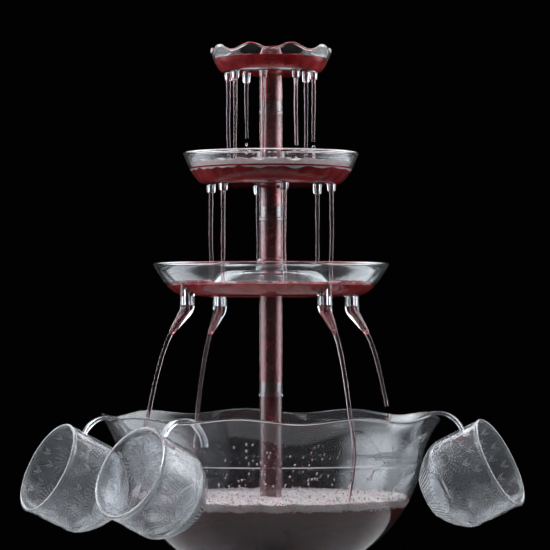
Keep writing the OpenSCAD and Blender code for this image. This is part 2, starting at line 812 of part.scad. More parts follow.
module bottom_tier() {
    boss_top = wall_rise(spout_circle, bottom_flat_r, bottom_rim_r, bottom_h) + tier_floor_t / 2;
    collar_h = bottom_h + bottom_collar_up - plateau_h + weld;
    color(clear) difference() {
        union() {
            translate([0, 0, bottom_z]) {
                bottom_dish();
                tier_edge(bottom_rim_r, bottom_h);
                at_spouts() cylinder(r = spout_hub_r, h = boss_top);
                at_spouts() rod(-nipple_l, nipple_r, nipple_l + weld);
            }
            stem(lower_joint_z, bottom_z + plateau_h);
            cone(bottom_z + plateau_h - weld, collar_r + collar_wall / 2, collar_r, collar_h);
        }
        stem_way(lower_joint_z, bottom_collar_z);
        collar_socket(bottom_collar_z);
        at_spouts() rod(bottom_z - nipple_l - reach, spout_bore_r, nipple_l + bottom_h);
    }
}

module nozzles(count, circle_r, az, r, top) {
    around(count, circle_r, az) rod(-nozzle_l, r, nozzle_l + top);
}

module nozzle_bores(count, circle_r, az, h) {
    around(count, circle_r, az) rod(-nozzle_l - reach, nozzle_bore_r, nozzle_l + h);
}

module middle_tier() {
    nozzle_top = wall_rise(middle_nozzle_circle, middle_flat_r, middle_rim_r, middle_h) + tier_floor_t / 2;
    collar_h = middle_h + middle_collar_up - tier_floor_t + weld;
    color(clear) difference() {
        union() {
            translate([0, 0, middle_z]) {
                tier_dish(middle_flat_r, middle_rim_r, middle_h, 1);
                tier_edge(middle_rim_r, middle_h);
                nozzles(middle_nozzles, middle_nozzle_circle, middle_nozzle_az, middle_nozzle_r, nozzle_top);
                cone(tier_floor_t - weld, collar_r + collar_wall, collar_r, collar_h);
            }
            stem(middle_joint_z, middle_z + tier_floor_t);
        }
        stem_way(middle_joint_z, middle_collar_z);
        collar_socket(middle_collar_z);
        translate([0, 0, middle_z])
            nozzle_bores(middle_nozzles, middle_nozzle_circle, middle_nozzle_az, middle_h / 2);
    }
}

// The top tier's wall is round up to this share of its width, and waved above
scallop_from = 0.72;

module top_rim() {
    band_steps = 3;
    band = [for (i = [0 : band_steps]) scallop_from + (1 - scallop_from) * i / band_steps];
    outer = [for (s = band) [top_flat_r + (top_rim_r - top_flat_r) * s, top_h * pow(s, tier_curve)]];
    seat = top_h * pow(scallop_from, tier_curve);
    inset = tier_wall / 8;
    section = concat(
        [outer[0] - [inset, reach]],
        [for (i = [1 : band_steps]) outer[i]],
        [outer[band_steps] + [-tier_wall / 2, tier_wall / 3]],
        [for (i = [band_steps : -1 : 1]) outer[i] - [tier_wall - inset, 0]],
        [outer[0] - [tier_wall - inset, reach]]
    );
    share = [for (p = section) min(1, max(0, (p[1] - seat) / (top_h - seat)))];
    translate([0, 0, top_z]) wavy_band(section, share, scallop_count, scallop_h, scallop_az);
}

module top_tier() {
    mouth_r = bore_r + collar_wall / 2;
    nozzle_top = wall_rise(top_nozzle_circle, top_flat_r, top_rim_r, top_h) + tier_floor_t / 2;
    hub_h = top_h + mouth_up - tier_floor_t + weld;
    color(clear) difference() {
        union() {
            translate([0, 0, top_z]) {
                tier_dish(top_flat_r, top_rim_r, top_h, scallop_from);
                nozzles(top_nozzles, top_nozzle_circle, top_nozzle_az, top_nozzle_r, nozzle_top);
                cone(tier_floor_t - weld, collar_r + collar_wall / 2, mouth_r, hub_h);
            }
            top_rim();
            stem(upper_joint_z, top_z + tier_floor_t);
        }
        stem_way(upper_joint_z, mouth_z);
        translate([0, 0, top_z]) nozzle_bores(top_nozzles, top_nozzle_circle, top_nozzle_az, top_h / 2);
    }
}

// Spouts

module spout(index) {
    color(clear) rotate([0, 0, spout_az + 360 / spout_count * index])
    translate([spout_circle, 0, bottom_z]) difference() {
        union() {
            rod(-spout_hub_l, spout_hub_r, spout_hub_l);
            translate([0, 0, -spout_hub_l]) sphere(r = spout_hub_r);
            translate([0, 0, -spout_hub_l]) rotate([0, 180 - spout_lean, 0])
                cylinder(r1 = spout_root_r, r2 = spout_tip_r, h = spout_nozzle_l);
        }
        rod(-nipple_l - run_gap, nipple_r + fit_gap, nipple_l + run_gap + reach);
        rod(-spout_hub_l, spout_bore_r, spout_hub_l);
        translate([0, 0, -spout_hub_l]) sphere(r = spout_bore_r);
        translate([0, 0, -spout_hub_l]) rotate([0, 180 - spout_lean, 0])
            cylinder(r = spout_bore_r, h = spout_nozzle_l + reach);
    }
}

module spout_rear_right() { spout(0); }
module spout_rear_left() { spout(1); }
module spout_front_left() { spout(2); }
module spout_front_right() { spout(3); }

// Cups

cup_shoulder_r = cup_r - cup_draft;
cup_lip = cup_wall / 2;

function round_part(low_r, high_r, low_z) = [
    for (i = [0 : curve_steps])
    [low_r + (high_r - low_r) * sin(90 * i / curve_steps), low_z + (cup_round_h - low_z) * i / curve_steps]
];

module cup_body() {
    inner = round_part(cup_foot_r - cup_wall, cup_shoulder_r - cup_wall, cup_floor_t);
    rotate_extrude() polygon(concat(
        [[0, 0]],
        round_part(cup_foot_r, cup_shoulder_r, 0),
        [[cup_r, cup_h - cup_lip], [cup_r - cup_lip, cup_h], [cup_r - cup_wall, cup_h - cup_lip]],
        [for (i = [curve_steps : -1 : 0]) inner[i]],
        [[0, cup_floor_t]]
    ));
}

// Hook handle, round the arch's centre: it stands square on the cup's wall
module hook_handle() {
    root = cup_wall / 2 + cup_draft;
    rotate([90, 0, 0]) {
        rotate_extrude(angle = hook_sweep) translate([arch_r, 0]) square([hook_t, hook_w], center = true);
        rotate([0, 0, hook_sweep]) translate([arch_r, 0, 0])
            cylinder(r = hook_t / 2, h = hook_w, center = true);
    }
    translate([arch_r - hook_t / 2, -hook_w / 2, -root]) cube([hook_t, hook_w, root + weld]);
}

module cup(az, yaw) {
    half_width_az = atan(hook_w / 2 / lip[0]);
    lift = max([for (side = [-1 : 1]) wave(az + side * half_width_az)]);
    color(clear) rotate([0, 0, az]) translate([lip[0], 0, lip[1] + lift]) rotate([0, 0, yaw])
        translate([arch_out, 0, -arch_down]) rotate([0, -cup_tilt, 0]) {
            translate([foot_along, 0, -cup_r]) rotate([0, 90, 0]) cup_body();
            hook_handle();
        }
}

module cup_right() { cup(cup_right_az, cup_right_yaw); }
module cup_left() { cup(cup_left_az, cup_left_yaw); }
module cup_front_left() { cup(cup_front_az, cup_front_yaw); }

base_housing();
base_cover();
cover_screws();
rubber_feet();
bowl_gasket();
switch_bezel();
switch_rocker();
power_inlet();
motor_can();
motor_bracket();
bracket_screws();
motor_shaft();
drive_hub();
drive_magnets();
bowl();
impeller_pin();
impeller();
impeller_magnets();
pump_cover();
lower_tube();
bottom_tier();
middle_tube();
middle_tier();
upper_tube();
top_tier();
spout_rear_right();
spout_rear_left();
spout_front_left();
spout_front_right();
cup_right();
cup_left();
cup_front_left();
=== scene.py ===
# %% [markdown]
# # A drinks fountain in clear plastic
# The fountain is a punch bowl on a small powered base, with a hollow riser that carries three dishes.
# A pump lifts the drink to the top, and it rains back from dish to dish through nozzles and spouts.
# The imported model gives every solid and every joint, so each piece made here rides on one of its bodies.
# Clear plastic shows nothing but its own edges and curves. The bowl, the riser, the dishes, the spouts and
# the cups are therefore turned or swept from smooth, finely stepped curves instead of keeping the flat
# facets of the solids.

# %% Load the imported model
import math
import random

import bpy
from mathutils import Matrix, Vector


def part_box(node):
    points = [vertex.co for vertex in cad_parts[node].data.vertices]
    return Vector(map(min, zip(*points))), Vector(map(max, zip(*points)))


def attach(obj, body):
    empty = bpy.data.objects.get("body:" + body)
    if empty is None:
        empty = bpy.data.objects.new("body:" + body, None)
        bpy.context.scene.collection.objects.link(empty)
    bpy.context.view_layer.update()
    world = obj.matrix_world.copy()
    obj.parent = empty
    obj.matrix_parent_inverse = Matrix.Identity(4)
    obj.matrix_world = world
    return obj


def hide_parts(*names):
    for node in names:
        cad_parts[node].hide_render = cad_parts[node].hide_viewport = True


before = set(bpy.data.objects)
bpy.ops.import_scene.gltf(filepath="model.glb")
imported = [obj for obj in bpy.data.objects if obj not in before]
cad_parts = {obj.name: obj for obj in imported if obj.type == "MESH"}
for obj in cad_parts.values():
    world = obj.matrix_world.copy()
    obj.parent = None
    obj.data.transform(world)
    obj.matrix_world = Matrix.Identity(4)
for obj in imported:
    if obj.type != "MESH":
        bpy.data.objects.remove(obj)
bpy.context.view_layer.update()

# %% [markdown]
# ## Lengths and levels
# The drawings of such a fountain are in millimetres, and Blender works in metres, so MM turns one into
# the other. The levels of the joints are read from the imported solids, which keeps every piece on what
# carries it.

# %% Levels read from the solids
MM = 0.001
MIDDLE_STEM_H = 29.4
TOP_STEM_H = 34.6
MOUTH_H = 20.4


def low_of(node):
    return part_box(node)[0].z / MM


def top_of(node):
    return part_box(node)[1].z / MM


bowl_z = low_of("bowl")
lower_joint_z = low_of("bottom_tier")
bottom_z = top_of("spout_front_left")
bottom_collar_z = top_of("bottom_tier")
middle_joint_z = low_of("middle_tier")
middle_collar_z = top_of("middle_tier")
upper_joint_z = low_of("top_tier")
pump_top_z = low_of("lower_tube")
middle_z = middle_joint_z + MIDDLE_STEM_H
top_z = upper_joint_z + TOP_STEM_H
mouth_z = top_z + MOUTH_H
print("joints at", round(lower_joint_z, 1), round(middle_joint_z, 1), round(upper_joint_z, 1), "mm")

# %% [markdown]
# ## Turning an outline
# Bowls, dishes, tubes and cups are all round, so one helper turns a closed outline into a mesh.
# The outline runs anticlockwise, out and up first, which makes every face point outwards.
# A second helper rounds the outline's corners: moulded plastic has no sharp ones, and a rounded corner
# is what catches the light on a clear piece.

# %% Helpers that turn a rounded outline
AXIS_GAP = 1e-6
TURN_STEPS = 192
ROUND_STEPS = 4
CORNER_SHARE = 0.45


def new_mesh(name, verts, edges=(), faces=()):
    mesh = bpy.data.meshes.new(name)
    mesh.from_pydata(verts, edges, faces)
    mesh.update()
    return mesh


def turned_mesh(name, outline, steps=TURN_STEPS):
    verts = []
    rings = []
    for radius, height in outline:
        first = len(verts)
        if radius < AXIS_GAP:
            verts.append((0, 0, height * MM))
            rings.append([first])
            continue
        for step in range(steps):
            angle = math.tau * step / steps
            verts.append((radius * MM * math.cos(angle), radius * MM * math.sin(angle), height * MM))
        rings.append(list(range(first, first + steps)))
    faces = []
    for low, high in zip(rings, rings[1:] + rings[:1]):
        for step in range(steps):
            after = (step + 1) % steps
            corners = [low[step % len(low)], low[after % len(low)]]
            corners += [high[after % len(high)], high[step % len(high)]]
            face = list(dict.fromkeys(corners))
            if len(face) > 2:
                faces.append(face)
    return new_mesh(name, verts, faces=faces)


def bend(start, corner, end, steps):
    """Points of a smooth bend from start to end that is drawn towards the corner."""
    points = []
    for step in range(steps + 1):
        share = step / steps
        points.append(start * (1 - share) ** 2 + corner * 2 * share * (1 - share) + end * share ** 2)
    return points


def rounded(corners):
    """Corners of a closed outline are (radius, height) or (radius, height, rounding)."""
    outline = []
    count = len(corners)
    for index, corner in enumerate(corners):
        here = Vector(corner[:2])
        before = Vector(corners[index - 1][:2])
        after = Vector(corners[(index + 1) % count][:2])
        rounding = corner[2] if len(corner) > 2 else 0
        shorter = min((before - here).length, (after - here).length)
        reach = min(rounding, shorter * CORNER_SHARE)
        if reach <= 0:
            outline.append(tuple(here))
            continue
        start = here + (before - here).normalized() * reach
        end = here + (after - here).normalized() * reach
        outline += [tuple(point) for point in bend(start, here, end, ROUND_STEPS)]
    return outline


def arc(centre_r, centre_z, radius, from_deg, to_deg, steps=8):
    turns = [math.radians(from_deg + (to_deg - from_deg) * i / steps) for i in range(steps + 1)]
    return [(centre_r + radius * math.cos(a), centre_z + radius * math.sin(a)) for a in turns]


def spaced(low, high, count):
    return [low + (high - low) * i / (count - 1) for i in range(count)]


print("outlines are turned in", TURN_STEPS, "steps")

# %% [markdown]
# ## Finishes
# A finish is a small tree of nodes. Colours and numbers that are the same all over sit on the shader itself,
# and noise drives only what varies: patches of tone, smears in the gloss, and the grain of a moulding.
# One helper builds all finishes from a few named values. The patterns use Object coordinates in metres,
# so their scales are real sizes.

# %% Helpers for node trees
NOISE_DETAIL = 4
NOISE_LOW = 0.3
NOISE_HIGH = 0.7
DARK_AT = 0.35
LIGHT_AT = 0.65


def socket_name(key):
    return key.replace("_", " ").title().replace("Ior", "IOR")


def add_node(owner, kind, **values):
    node = owner.node_tree.nodes.new(kind)
    for key, value in values.items():
        node.inputs[socket_name(key)].default_value = value
    return node


def join(owner, source, node, socket):
    owner.node_tree.links.new(source, node.inputs[socket])


def shader_of(material):
    return material.node_tree.nodes["Principled BSDF"]


def noise_at(material, scale, detail=NOISE_DETAIL):
    place_on = add_node(material, "ShaderNodeTexCoord")
    noise = add_node(material, "ShaderNodeTexNoise", scale=scale, detail=detail)
    join(material, place_on.outputs["Object"], noise, "Vector")
    return noise.outputs["Fac"]


def spread(material, source, low, high, source_low=NOISE_LOW, source_high=NOISE_HIGH):
    span = add_node(
        material, "ShaderNodeMapRange", from_min=source_low, from_max=source_high, to_min=low, to_max=high)
    join(material, source, span, "Value")
    return span.outputs["Result"]


def two_tone(material, source, dark, light):
    ramp = add_node(material, "ShaderNodeValToRGB")
    for element, position, colour in zip(ramp.color_ramp.elements, (DARK_AT, LIGHT_AT), (dark, light)):
        element.position = position
        element.color = (*colour, 1)
    join(material, source, ramp, "Fac")
    return ramp.outputs["Color"]


# %% The helper that makes a finish
def make_finish(name, tone=None, gloss=None, grain=None, **even):
    """tone has scale, dark and light, gloss has scale, smooth and rough, and grain has scale, detail,
    strength and depth. The even values go on the shader by their names."""
    material = bpy.data.materials.new(name)
    material.use_nodes = True
    shader = shader_of(material)
    for key, value in even.items():
        shader.inputs[socket_name(key)].default_value = value
    if tone:
        colour = two_tone(material, noise_at(material, tone["scale"]), tone["dark"], tone["light"])
        join(material, colour, shader, "Base Color")
    if gloss:
        smears = spread(material, noise_at(material, gloss["scale"]), gloss["smooth"], gloss["rough"])
        join(material, smears, shader, "Roughness")
    if grain:
        bump = add_node(material, "ShaderNodeBump", strength=grain["strength"], distance=grain["depth"])
        join(material, noise_at(material, grain["scale"], grain["detail"]), bump, "Height")
        join(material, bump.outputs["Normal"], shader, "Normal")
    print("finish:", name, "with", len(material.node_tree.nodes), "nodes")
    return material


# %% [markdown]
# ## Clear plastic
# The bowl, the dishes and the tubes are clear and glossy, with faint smears and a slight waviness.
# The cups are the same plastic, frosted where their pattern is pressed. An attribute of the cups' mesh says
# how strongly each point is pressed, and it drives how rough and how clear the finish is there.

# %% Clear finishes
PLASTIC_IOR = 1.5
clear_plastic = make_finish(
    "clear_plastic", base_color=(0.95, 0.975, 1.0, 1), ior=PLASTIC_IOR, transmission_weight=0.975,
    gloss=dict(scale=38, smooth=0.01, rough=0.07),
    grain=dict(scale=40, detail=2, strength=0.06, depth=0.0006))

cup_plastic = make_finish(
    "cup_plastic", base_color=(0.95, 0.97, 1.0, 1), ior=PLASTIC_IOR,
    grain=dict(scale=60, detail=2, strength=0.05, depth=0.0005))
pressed = add_node(cup_plastic, "ShaderNodeAttribute")
pressed.attribute_name = "pressed"
for socket, clear, frosted in (("Roughness", 0.03, 0.4), ("Transmission Weight", 0.9, 0.42)):
    varied = spread(cup_plastic, pressed.outputs["Fac"], clear, frosted, source_low=0, source_high=1)
    join(cup_plastic, varied, shader_of(cup_plastic), socket)

# %% [markdown]
# ## The drink and its foam
# The drink is a red punch. In the dishes it is beaten full of fine bubbles, so about half of the light is
# scattered, and in the bowl it is deep and dark. Its colour grows with its depth, so both have an absorbing
# volume. The column in the riser is paler round a dark core. A stream is too thin to look red: it is nearly
# clear, with a faint tint. Foam is a heap of bubble walls, so it is pale and rough and hardly clear.

# %% Drink and foam
DRINK_IOR = 1.34
CORE_IOR = 1.02


def absorbing(material, tint, density):
    absorb = add_node(material, "ShaderNodeVolumeAbsorption", color=(*tint, 1), density=density)
    join(material, absorb.outputs["Volume"], material.node_tree.nodes["Material Output"], "Volume")


drink = make_finish(
    "drink", ior=DRINK_IOR, transmission_weight=0.45,
    tone=dict(scale=95, dark=(0.5, 0.006, 0.014), light=(1.0, 0.07, 0.08)),
    gloss=dict(scale=90, smooth=0.02, rough=0.1),
    grain=dict(scale=130, detail=3, strength=0.5, depth=0.0016))
absorbing(drink, tint=(0.9, 0.2, 0.22), density=9)

deep_drink = make_finish(
    "deep_drink", base_color=(0.42, 0.012, 0.02, 1), ior=DRINK_IOR, transmission_weight=0.955,
    gloss=dict(scale=60, smooth=0.02, rough=0.12),
    grain=dict(scale=80, detail=3, strength=0.3, depth=0.0012))
absorbing(deep_drink, tint=(0.75, 0.12, 0.14), density=90)

riser_drink = make_finish(
    "riser_drink", base_color=(0.9, 0.34, 0.36, 1), ior=DRINK_IOR, transmission_weight=0.93,
    gloss=dict(scale=120, smooth=0.03, rough=0.12),
    grain=dict(scale=200, detail=3, strength=0.4, depth=0.001))

riser_core = make_finish(
    "riser_core", base_color=(0.55, 0.03, 0.045, 1), ior=CORE_IOR, transmission_weight=0.9,
    gloss=dict(scale=160, smooth=0.1, rough=0.3))
absorbing(riser_core, tint=(0.8, 0.15, 0.17), density=60)

stream_drink = make_finish(
    "stream_drink", base_color=(1.0, 0.8, 0.82, 1), ior=DRINK_IOR, transmission_weight=0.98,
    gloss=dict(scale=150, smooth=0.01, rough=0.05),
    grain=dict(scale=90, detail=2, strength=0.04, depth=0.0008))

foam = make_finish(
    "foam", ior=DRINK_IOR, transmission_weight=0.04, subsurface_weight=0.2, subsurface_scale=0.003,
    tone=dict(scale=170, dark=(0.9, 0.72, 0.73), light=(0.98, 0.91, 0.91)),
    gloss=dict(scale=300, smooth=0.15, rough=0.45),
    grain=dict(scale=420, detail=3, strength=0.5, depth=0.0012))

# %% [markdown]
# ## Base finishes
# The base is moulded in white plastic with a fine spark-eroded grain, and so are the hub and the impeller.
# The switch and the inlet are black, and the feet and the gasket are rubber. The motor with its bracket and
# shaft, the pin, the screws and the magnets are metal.

# %% Opaque finishes
make_finish(
    "white_plastic", ior=PLASTIC_IOR,
    tone=dict(scale=14, dark=(0.74, 0.74, 0.72), light=(0.8, 0.8, 0.79)),
    gloss=dict(scale=45, smooth=0.3, rough=0.42),
    grain=dict(scale=1400, detail=2, strength=0.12, depth=0.0002))
make_finish(
    "black_plastic",
    tone=dict(scale=60, dark=(0.016, 0.016, 0.018), light=(0.03, 0.03, 0.033)),
    gloss=dict(scale=90, smooth=0.3, rough=0.5),
    grain=dict(scale=1800, detail=2, strength=0.2, depth=0.0002))
make_finish(
    "rubber",
    tone=dict(scale=80, dark=(0.022, 0.022, 0.022), light=(0.05, 0.05, 0.048)),
    gloss=dict(scale=140, smooth=0.65, rough=0.9),
    grain=dict(scale=900, detail=3, strength=0.3, depth=0.0003))
make_finish(
    "steel", metallic=1.0,
    tone=dict(scale=120, dark=(0.46, 0.46, 0.47), light=(0.62, 0.62, 0.63)),
    gloss=dict(scale=300, smooth=0.22, rough=0.4),
    grain=dict(scale=1500, detail=2, strength=0.15, depth=0.0001))
make_finish(
    "motor_metal", metallic=0.9,
    tone=dict(scale=70, dark=(0.28, 0.28, 0.29), light=(0.42, 0.42, 0.43)),
    gloss=dict(scale=160, smooth=0.35, rough=0.55),
    grain=dict(scale=700, detail=3, strength=0.2, depth=0.0002))

# %% [markdown]
# ## Placing a piece
# A finished piece is a mesh in the frame's own place, with its object at the origin. One helper gives it
# its finish, smooths its curves, ties it to a body and hides the solid that it stands for.

# %% Helper that places a piece
SHARP_DEG = 35


def place(name, mesh, material, body, slot, *nodes):
    mesh.materials.clear()
    mesh.materials.append(material)
    mesh.shade_smooth()
    mesh.set_sharp_from_angle(angle=math.radians(SHARP_DEG))
    piece = bpy.data.objects.new(name, mesh)
    bpy.context.scene.collection.objects.link(piece)
    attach(piece, body)
    if nodes:
        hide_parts(*nodes)
    print(name, "rides", body, "with", len(mesh.polygons), "faces")
    return piece


# %% [markdown]
# ## Geometry Nodes helpers
# A tree of Geometry Nodes is a rule with named inputs. It is built once and can be used on many pieces.
# The result is turned into a plain mesh, so nothing live is left on a finished piece.

# %% Helpers for Geometry Nodes
def new_rule(name, **inputs):
    tree = bpy.data.node_groups.new(name, "GeometryNodeTree")
    tree.interface.new_socket("Geometry", in_out="INPUT", socket_type="NodeSocketGeometry")
    for key, kind in inputs.items():
        tree.interface.new_socket(key, in_out="INPUT", socket_type="NodeSocket" + kind)
    tree.interface.new_socket("Geometry", in_out="OUTPUT", socket_type="NodeSocketGeometry")
    start = tree.nodes.new("NodeGroupInput")
    return tree, start.outputs


def add_step(tree, kind, links=None, values=None, **settings):
    node = tree.nodes.new(kind)
    for key, value in settings.items():
        setattr(node, key, value)
    for key, value in (values or {}).items():
        node.inputs[key].default_value = value
    for key, source in (links or {}).items():
        tree.links.new(source, node.inputs[key])
    return node


def calc(tree, operation, first, second=None, clamp=False):
    node = add_step(tree, "ShaderNodeMath", operation=operation, use_clamp=clamp)
    for socket, source in zip(node.inputs, (first, second)):
        if source is None:
            continue
        if isinstance(source, (int, float)):
            socket.default_value = source
        else:
            tree.links.new(source, socket)
    return node.outputs[0]


def end_rule(tree, geometry, finish):
    """finish is a material, or an input of the rule that gives one."""
    real = add_step(tree, "GeometryNodeRealizeInstances", {"Geometry": geometry})
    painted = add_step(tree, "GeometryNodeSetMaterial", {"Geometry": real.outputs[0]})
    if isinstance(finish, bpy.types.Material):
        painted.inputs["Material"].default_value = finish
    else:
        tree.links.new(finish, painted.inputs["Material"])
    add_step(tree, "NodeGroupOutput", {0: painted.outputs[0]})
    print("rule:", tree.name, "with", len(tree.nodes), "nodes")


# %% A helper that lets a rule grow a mesh
def grown(name, tree, mesh, **values):
    maker = bpy.data.objects.new(name + "_maker", mesh)
    bpy.context.scene.collection.objects.link(maker)
    rule = maker.modifiers.new("rule", "NODES")
    rule.node_group = tree
    for item in tree.interface.items_tree:
        if item.in_out == "INPUT" and item.name in values:
            rule[item.identifier] = values[item.name]
    graph = bpy.context.evaluated_depsgraph_get()
    result = bpy.data.meshes.new_from_object(maker.evaluated_get(graph), depsgraph=graph)
    result.name = name
    bpy.data.objects.remove(maker)
    print(name, "grew to", len(result.polygons), "faces")
    return result


# %% [markdown]
# ## The waved rims
# The bowl and the top dish end in a rim that rises and falls nine times. It could be made point by point,
# but it follows one rule: the height above the rim's start times a cosine of the angle round the axis.
# One tree of Geometry Nodes holds that rule, with the number of waves, their height and their first crest.

# %% The rule of the waved rim
WAVED_STEPS = 288
HALF = 0.5
wave_rule, given = new_rule(
    "waved_rim", Waves="Float", Height="Float", Crest="Float", Start="Float", Depth="Float", Inside="Float")
where = add_step(wave_rule, "GeometryNodeInputPosition")
split = add_step(wave_rule, "ShaderNodeSeparateXYZ", {"Vector": where.outputs[0]}).outputs
azimuth = calc(wave_rule, "ARCTAN2", split["Y"], split["X"])
from_crest = calc(wave_rule, "SUBTRACT", azimuth, given["Crest"])
ripple = calc(wave_rule, "COSINE", calc(wave_rule, "MULTIPLY", from_crest, given["Waves"]))
above = calc(wave_rule, "SUBTRACT", split["Z"], given["Start"])
share = calc(wave_rule, "DIVIDE", above, given["Depth"], clamp=True)
flat_place = add_step(wave_rule, "ShaderNodeCombineXYZ", {"X": split["X"], "Y": split["Y"]})
from_axis = add_step(wave_rule, "ShaderNodeVectorMath", {0: flat_place.outputs[0]}, operation="LENGTH")
on_rim = calc(wave_rule, "GREATER_THAN", from_axis.outputs["Value"], given["Inside"])
half_height = calc(wave_rule, "MULTIPLY", given["Height"], HALF)
rise = calc(wave_rule, "MULTIPLY", calc(wave_rule, "MULTIPLY", ripple, share), half_height)
rise = calc(wave_rule, "MULTIPLY", rise, on_rim)
shift = add_step(wave_rule, "ShaderNodeCombineXYZ", {"Z": rise})
waved = add_step(
    wave_rule, "GeometryNodeSetPosition", {"Geometry": given["Geometry"], "Offset": shift.outputs[0]})
end_rule(wave_rule, waved.outputs[0], clear_plastic)

# %% [markdown]
# ## The punch bowl
# The bowl is a deep round belly that turns out into a flared rim. Its outside follows an ellipse,
# its flare follows a power curve, and its inside lies one wall thickness within, square to the slope.
# A raised bead shows how far it may be filled.

# %% The bowl's curves
BOWL_H = 131
RIM_R = 142
BELLY_R = 128.5
FOOT_R = 37.5
BELLY_DROP = 18.5
FLARE_DROP = 33
FLARE_CURVE = 1.75
FILL_DROP = 37
BOWL_WALL = 2.6
BOWL_FLOOR = 3
RIM_WAVES = 9
RIM_WAVE_H = 4
RIM_CREST_DEG = -20.5
SLOPE_STEP = 0.05
rim_z = bowl_z + BOWL_H
belly_z = rim_z - BELLY_DROP
flare_z = rim_z - FLARE_DROP
fill_z = rim_z - FILL_DROP
belly_depth = (belly_z - bowl_z) / math.sqrt(1 - (FOOT_R / BELLY_R) ** 2)


def bowl_r(z):
    below = (belly_z - min(z, belly_z)) / belly_depth
    flare = max(0, (z - flare_z) / FLARE_DROP)
    return BELLY_R * math.sqrt(max(0, 1 - below ** 2)) + (RIM_R - BELLY_R) * flare ** FLARE_CURVE


def bowl_lean(z):
    return math.atan((bowl_r(z + SLOPE_STEP) - bowl_r(z)) / SLOPE_STEP)


def beside_bowl(z, off):
    return bowl_r(z) + off * math.cos(bowl_lean(z)), z - off * math.sin(bowl_lean(z))


def inside_bowl_r(z):
    return beside_bowl(z, -BOWL_WALL)[0]


print("bowl rim at", round(rim_z, 1), "mm, fill line at", round(fill_z, 1), "mm")

# %% The bowl's outline
FOOT_FLATS = (3, 1)
END_GAP = 0.5
BEAD_GAP = 3
INSIDE_FROM = 4.2
BELLY_STEPS = 40
FLARE_STEPS = 22
INSIDE_STEPS = 60
FILL_BEAD = ((-1.4, 0), (-0.7, 0.2), (0, 0.3), (0.7, 0.2), (1.4, 0))
LIP_DEG = (10, 170)
FLOOR_BEND = 6
PIN_BOSS_R = 6
PIN_BOSS_TOP_R = 5.5
PIN_BOSS_H = 2
BOWL_WAVES_FROM_R = 100
lip_r, lip_z = beside_bowl(rim_z, -BOWL_WALL / 2)
lip_lean = math.degrees(bowl_lean(rim_z))
bowl_floor_z = bowl_z + BOWL_FLOOR
bowl_outline = [(0, bowl_z)] + [(FOOT_R - flat, bowl_z) for flat in FOOT_FLATS]
bowl_outline += [beside_bowl(z, 0) for z in spaced(bowl_z + END_GAP, fill_z - BEAD_GAP, BELLY_STEPS)]
bowl_outline += [beside_bowl(fill_z + up, out) for up, out in FILL_BEAD]
bowl_outline += [beside_bowl(z, 0) for z in spaced(fill_z + BEAD_GAP, rim_z - END_GAP, FLARE_STEPS)]
bowl_outline += arc(lip_r, lip_z, BOWL_WALL / 2, *[turn - lip_lean for turn in LIP_DEG])
inner_levels = spaced(rim_z - END_GAP, bowl_z + INSIDE_FROM, INSIDE_STEPS)
bowl_outline += [beside_bowl(z, -BOWL_WALL) for z in inner_levels]
inner_foot_r = bowl_outline[-1][0]
bowl_outline += [(inner_foot_r - FLOOR_BEND, bowl_floor_z), (PIN_BOSS_R, bowl_floor_z)]
bowl_outline += [(PIN_BOSS_TOP_R, bowl_floor_z + PIN_BOSS_H), (0, bowl_floor_z + PIN_BOSS_H)]
bowl_mesh = grown(
    "punch_bowl", wave_rule, turned_mesh("bowl_plain", bowl_outline, WAVED_STEPS), Waves=float(RIM_WAVES),
    Height=RIM_WAVE_H * MM, Crest=math.radians(RIM_CREST_DEG), Start=flare_z * MM, Depth=FLARE_DROP * MM,
    Inside=BOWL_WAVES_FROM_R * MM)
place("punch_bowl", bowl_mesh, clear_plastic, "bowl", "clear_plastic", "bowl")

# %% [markdown]
# ## The dishes
# Each dish has a flat floor and a wall that curves up and out. The stem below it is part of the same
# moulding: it stands on the tube under it and takes the next tube in the collar above it.
# The bottom dish has a raised middle, so its drink stands in a ring over the four spouts.

# %% The curves that all dishes share
TUBE_R = 9.5
BORE_R = 6.25
SOCKET_R = 7.925
SPIGOT_R = 7.975
SPIGOT_L = 12
SPIGOT_PLAY = 0.3
JOINT_BEAD = 0.6
JOINT_BEAD_H = 2.4
JOINT_BEAD_SLOPE = 0.4
COLLAR_R = 12
COLLAR_SPREAD = 1.25
DISH_FLOOR = 2.2
DISH_WALL = 2
DISH_CURVE = 2.5
DISH_STEPS = 26
EDGE_R = 1.3
EDGE_DEG = (-50, 230)
EDGE_STEPS = 12
FINE_ROUND = 0.2
BORE_ROUND = 0.3
SOFT_ROUND = 0.4
BEAD_ROUND = 0.6
COLLAR_ROUND = 0.8
FLOOR_FILLET = 1.5
STEM_FILLET = 2.5


def dish_wall(flat_r, rim_r, high, under_z, outside_end=0.97, inside_end=0.96, edge=None):
    """The outside of a dish's wall, its rounded edge, and its inside down to the floor."""
    edge_r, edge_deg, edge_steps = edge or (EDGE_R, EDGE_DEG, EDGE_STEPS)
    points = [
        (flat_r + (rim_r - flat_r) * s, high * s ** DISH_CURVE) for s in spaced(0, outside_end, DISH_STEPS)]
    points += arc(rim_r - DISH_WALL / 2, high, edge_r, *edge_deg, edge_steps)
    inner_r = flat_r - DISH_WALL / 2
    for s in spaced(inside_end, 0, DISH_STEPS):
        wall_r = inner_r + (rim_r - DISH_WALL - inner_r) * s
        points.append((wall_r, DISH_FLOOR + (high - DISH_FLOOR) * s ** DISH_CURVE))
    return [(r, height + under_z) for r, height in points]


def stem_foot(joint_z):
    bead_r = TUBE_R + JOINT_BEAD
    bead_z = joint_z + JOINT_BEAD_H
    return [(SOCKET_R, joint_z, FINE_ROUND), (bead_r, joint_z, SOFT_ROUND), (bead_r, bead_z, BEAD_ROUND),
            (TUBE_R, bead_z + JOINT_BEAD_SLOPE, SOFT_ROUND)]


